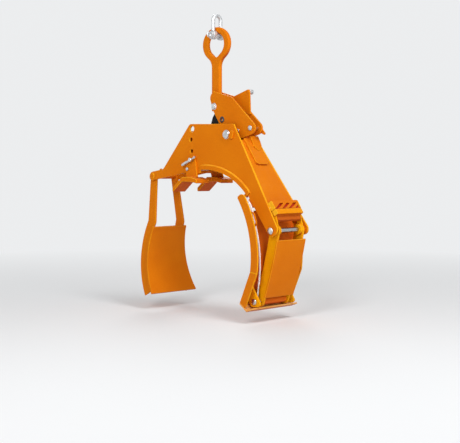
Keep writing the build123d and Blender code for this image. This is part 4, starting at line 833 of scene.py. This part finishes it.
# Shoe: a rolled pad between two curved webs, a straight toe below the butt weld, an outward lip, two lugs
# for the pin and a bent-rod staple beside the rope. It is welded up from plate.
lip_pale_deep, lip_pale_light, many_chips = (0.82, 0.37, 0.08), (0.90, 0.54, 0.20), 0.66
shoe_edge, staple_edge = 1.5, 0.6
shoe_centre, pad_back = (-101.0, 27.0), 512.0
pad_weld_start, pad_weld_end, shoe_bead = -7.7, 34.9, 3.2
web_inner, web_outer, web_bead, web_facing = 162.0, 167.9, 2.0, (0.5, 0.65)
bend_inner, web_bend = (398.12, -43.0), (442.68, -49.25)
butt_half, butt_fade, butt_share = 2.6, 0.5, 0.8
bend_outer, toe_end = (406.04, -44.11), (336.60, -202.28)
toe_inner, web_low = (330.31, -197.46), (365.71, -224.58)
toe_out = (0.9157, -0.402)
lip_half, lip_facing, lip_bead = 160.0, (1.0, 0.0, 0.25), 3.4
lug_high, lug_low = (374.68, -115.53), (345.74, -181.46)
lug_nose = [(432.0, -203.0), (420.0, -218.0), (372.0, -219.0)]
lug_faces, lug_ease, lug_bead = (120.0, 132.0), 9.0, 3.4
staple_feet, staple_y = ((390.74, 171.73), (365.07, 240.39)), -146.0
staple_ring, staple_points, staple_bead = 4.6, 24, 2.4
# the lip: a paler, yellower enamel that chips more often
lip_pale_enamel = enamel("lip_pale_enamel", lip_pale_deep, lip_pale_light, many_chips)
# webs: faces along the plate and a narrow band on the butt weld are lighter as a painted highlight
web_enamel = enamel("web_enamel", deep_orange, light_orange, few_chips, edge_highlight_share)
butt_way = unit(np.subtract(web_bend, bend_inner))
banded(web_enamel, bend_inner, butt_way, butt_half, butt_fade, highlight_orange, butt_share)
rounded("toe_lip", shoe_edge, (lip_pale_enamel,))
# the pad and the toe plate are dark red as painted shade
for node in ("shoe_pad", "toe_plate"):
    rounded(node, shoe_edge, (shade_red_enamel, edge_highlight_and_chips))
for node in ("shoe_web_front", "shoe_web_rear"):
    rounded(node, shoe_edge, (web_enamel, edge_highlight_and_chips))
rounded("rope_staple", staple_edge, painted)
lug_outline = eased([lug_high] + lug_nose + [lug_low], lug_ease)
for node, side in (("shoe_lug_front", -1.0), ("shoe_lug_rear", 1.0)):
    lug_plate = flat_plate(lug_outline, side * lug_faces[0], side * lug_faces[1])
    lug = made(node + "_plate", "shoe", [lug_plate], lit_yellow_enamel)
    break_edges(lug, shoe_edge)
    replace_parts(lug, node)


def ring_weld(centre, axis, radius, points, size):
    """Weld round a rod: a bead round a circle about the axis that leads into the plate, facing outwards
    and back along the rod."""
    turn = np.linspace(0.0, 2 * math.pi, points)
    ring = np.stack([axis[2] * np.cos(turn), np.sin(turn), -axis[0] * np.cos(turn)], axis=1)
    return bead(np.array(centre) + radius * ring, ring - axis, size)


pad_line = round_path(shoe_centre, pad_back, pad_weld_start, pad_weld_end)
pad_out = at_y((pad_line - np.array(shoe_centre)) / pad_back, 0.0)
toe_facing = np.array([toe_out[0], 0.0, toe_out[1]])
shoe_runs = []
for side in (-1.0, 1.0):
    inward = np.array([0.0, -side, 0.0])
    shoe_runs.append(bead(at_y(pad_line, side * web_inner), pad_out + inward, shoe_bead))
    shoe_runs.append(bead(at_y([bend_outer, toe_end], side * web_inner), toe_facing + inward, shoe_bead))
    for y, way in ((web_inner, -side), (web_outer, side)):
        facing = (web_facing[0], way, web_facing[1])
        shoe_runs.append(bead(at_y([toe_inner, web_low], side * y), facing, web_bead))
    for y, way in zip(lug_faces, (-side, side)):
        facing = toe_facing + np.array([0.0, way, 0.0])
        shoe_runs.append(bead(at_y([lug_high, lug_low], side * y), facing, lug_bead))
lip_ends = [(toe_end[0], -lip_half, toe_end[1]), (toe_end[0], lip_half, toe_end[1])]
shoe_runs.append(bead(lip_ends, lip_facing, lip_bead))
for foot in staple_feet:
    into_pad = unit(np.array(shoe_centre) - np.array(foot))
    axis = np.array([into_pad[0], 0.0, into_pad[1]])
    shoe_runs.append(ring_weld((foot[0], staple_y, foot[1]), axis, staple_ring, staple_points, staple_bead))
made("shoe_welds", "shoe", shoe_runs, orange_enamel)

# Tether rope: six-strand bright steel wire rope, ten millimetres thick, fixed to a lug under the arch
# plate, running past the staple to a swaged fitting with an eye on the shoe pin.
wire_deep, wire_light = (0.84, 0.84, 0.83), (0.95, 0.95, 0.94)
rope_lug_foot, rope_lug_axis = (303.6, -87.0, 332.5), (0.674, 0.0, 0.738)
rope_lug_edge, rope_lug_ring, rope_lug_points, rope_lug_bead = 1.0, 11.0, 40, 2.6
rope_route = [
    (301.9, -94.2, 314.5), (335.7, -114.1, 301.2), (366.9, -118.9, 260.3), (394.3, -134.0, 201.6),
    (421.9, -134.0, 109.6), (431.0, -134.0, 27.0), (408.9, -111.0, -81.9), (401.9, -111.0, -107.7),
]
route_steps = 48
strand_count, strand_turn, strand_radius, strand_sides = 6, 3.25, 1.75, 8
rope_lay = 58.0
rope_parting = 30.0
rope_end_edge = 0.8
rounded("rope_lug", rope_lug_edge, painted)
curve = bpy.data.curves.new("rope_route", "CURVE")
curve.dimensions = "3D"
curve.resolution_u = route_steps
spline = curve.splines.new("NURBS")
spline.points.add(len(rope_route) - 1)
weighted = np.concatenate([np.array(rope_route), np.ones((len(rope_route), 1))], axis=1)
spline.points.foreach_set("co", weighted.ravel())
spline.order_u = 3
spline.use_endpoint_u = True
guide = bpy.data.objects.new("rope_route", curve)
guide_mesh = bpy.data.meshes.new_from_object(guide)
rope_line = np.empty(len(guide_mesh.vertices) * 3)
guide_mesh.vertices.foreach_get("co", rope_line)
rope_line = rope_line.reshape(-1, 3)
bpy.data.objects.remove(guide)
bpy.data.meshes.remove(guide_mesh)


def strand(line, start, turn_radius, radius, length):
    """One strand: a round wire whose middle winds round the rope's line once in each lay length; the
    rows of the length asked for are kept and closed flat at both ends."""
    way = unit(np.gradient(line, axis=0))
    along = np.concatenate([[0.0], np.linalg.norm(np.diff(line, axis=0), axis=1).cumsum()])
    first = unit(np.array(along_y) - way[:, 1:2] * way)
    second = np.cross(way, first)
    wind = start + 2 * math.pi * along[:, None] / rope_lay
    middle = line + turn_radius * (np.cos(wind) * first + np.sin(wind) * second)
    run = unit(np.gradient(middle, axis=0))
    out = unit(first - (first * run).sum(axis=1, keepdims=True) * run)
    side = np.cross(run, out)
    turn = np.linspace(0.0, 2 * math.pi, strand_sides, endpoint=False)
    ring = np.cos(turn)[:, None] * out[:, None, :] + np.sin(turn)[:, None] * side[:, None, :]
    places = (middle[:, None, :] + radius * ring)[length]
    ends = np.repeat(middle[length][[0, -1], None, :], strand_sides, axis=1)
    places = np.concatenate([ends[:1], places, ends[1:]])
    return places.reshape(-1, 3), quads(len(places), strand_sides)


bright_wire = plated_steel("bright_wire", wire_deep, wire_light, smooth=0.24, rough=0.40, metal=0.1)
turns = np.linspace(0.0, 2 * math.pi, strand_count, endpoint=False)
parting = int(np.argmax(rope_line[:, 2] < rope_parting))
rope_lengths = (
    ("rope_upper", slice(0, parting + 1), "frame", "arm", (0.336, -0.114, 0.301), (0.389, -0.134, 0.202)),
    ("rope_lower", slice(parting, None), "arm", "shoe", (0.423, -0.134, 0.027), (0.402, -0.111, -0.108)),
)
for name, length, upper_body, lower_body, start, end in rope_lengths:
    strands = [strand(rope_line, wind, strand_turn, strand_radius, length) for wind in turns]
    strands.append(strand(rope_line, 0.0, 0.0, strand_radius, length))
    rope = made(name, upper_body, strands, bright_wire)
    rope.parent = None
    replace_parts(rope, "tether_rope")
    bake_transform(rope)
rounded("rope_end", rope_end_edge, (bright_zinc,))
lug_bead_run = ring_weld(rope_lug_foot, unit(rope_lug_axis), rope_lug_ring, rope_lug_points, rope_lug_bead)
made("rope_lug_weld", "frame", [lug_bead_run], orange_enamel)

# Floor, light and camera: a pale floor that fades into a pale surround, broad soft lamps, and the
# camera where the photograph was taken from.
floor_height, floor_half = -0.30, 20.0
floor_rough, fade_start, fade_end = 0.9, 0.9, 4.5
pale = (0.84, 0.85, 0.86)
white = (1.0, 1.0, 1.0)
ambient_strength = 0.34
lamps = (
    ("key_lamp", (1.9, -4.0, 3.0), 1.6, 92.0),
    ("top_lamp", (3.2, -0.6, 4.2), 1.8, 98.0),
    ("side_lamp", (4.6, -1.2, 0.9), 2.0, 36.0),
    ("back_lamp", (-4.0, 3.6, 3.6), 3.0, 80.0),
)
lamp_aim = Vector((0.05, 0.0, 0.45))
camera_place = (3.692, -3.702, 0.443)
azimuth, elevation = math.radians(44.14), math.radians(2.85)
camera_lens, camera_sensor, camera_far = 78.3, 36.0, 200.0
floor_mesh = bpy.data.meshes.new("floor")
floor_signs = ((-1, -1), (1, -1), (1, 1), (-1, 1))
floor_corners = [(x * floor_half, y * floor_half, floor_height) for x, y in floor_signs]
floor_mesh.from_pydata(floor_corners, [], [(0, 1, 2, 3)])
floor = bpy.data.objects.new("floor", floor_mesh)
bpy.context.scene.collection.objects.link(floor)
floor_finish, tree, shader, place = new_finish("pale_floor")
shader.inputs["Base Color"].default_value = (*pale, 1.0)
shader.inputs["Roughness"].default_value = floor_rough
glow = tree.nodes.new("ShaderNodeEmission")
glow.inputs["Color"].default_value = (*pale, 1.0)
reach = worked(tree, "ShaderNodeVectorMath", "LENGTH", [place.outputs["Object"]])
fade = remapped(tree, reach, fade_start, fade_end, 0.0, 1.0)
blend = tree.nodes.new("ShaderNodeMixShader")
tree.links.new(fade, blend.inputs[0])
tree.links.new(shader.outputs[0], blend.inputs[1])
tree.links.new(glow.outputs[0], blend.inputs[2])
tree.links.new(blend.outputs[0], tree.nodes["Material Output"].inputs["Surface"])
floor_mesh.materials.append(floor_finish)

world = bpy.data.worlds.new("pale_surround")
bpy.context.scene.world = world
world.use_nodes = True
tree = world.node_tree
seen = tree.nodes["Background"]
seen.inputs["Color"].default_value = (*pale, 1.0)
seen.inputs["Strength"].default_value = 1.0
ambient = tree.nodes.new("ShaderNodeBackground")
ambient.inputs["Color"].default_value = (*white, 1.0)
ambient.inputs["Strength"].default_value = ambient_strength
ray = tree.nodes.new("ShaderNodeLightPath")
clear = ray.outputs["Is Camera Ray"]
for kind in ("Is Glossy Ray", "Is Transmission Ray"):
    clear = worked(tree, "ShaderNodeMath", "MAXIMUM", [clear, ray.outputs[kind]])
surround = tree.nodes.new("ShaderNodeMixShader")
tree.links.new(clear, surround.inputs[0])
tree.links.new(ambient.outputs[0], surround.inputs[1])
tree.links.new(seen.outputs[0], surround.inputs[2])
tree.links.new(surround.outputs[0], tree.nodes["World Output"].inputs["Surface"])

for name, spot, size, power in lamps:
    lamp = bpy.data.lights.new(name, "AREA")
    lamp.shape = "DISK"
    lamp.size = size
    lamp.energy = power
    holder = bpy.data.objects.new(name, lamp)
    holder.location = spot
    holder.rotation_mode = "QUATERNION"
    holder.rotation_quaternion = (lamp_aim - Vector(spot)).to_track_quat("-Z", "Y")
    bpy.context.scene.collection.objects.link(holder)

lens = bpy.data.cameras.new("photo_camera")
lens.sensor_width = camera_sensor
lens.sensor_fit = "HORIZONTAL"
lens.lens = camera_lens
lens.clip_end = camera_far
camera = bpy.data.objects.new("photo_camera", lens)
level = math.cos(elevation)
back = Vector((math.sin(azimuth) * level, -math.cos(azimuth) * level, math.sin(elevation)))
camera.location = camera_place
camera.rotation_mode = "QUATERNION"
camera.rotation_quaternion = (-back).to_track_quat("-Z", "Y")
bpy.context.scene.collection.objects.link(camera)
bpy.context.scene.camera = camera
bpy.context.scene.view_settings.view_transform = "Standard"
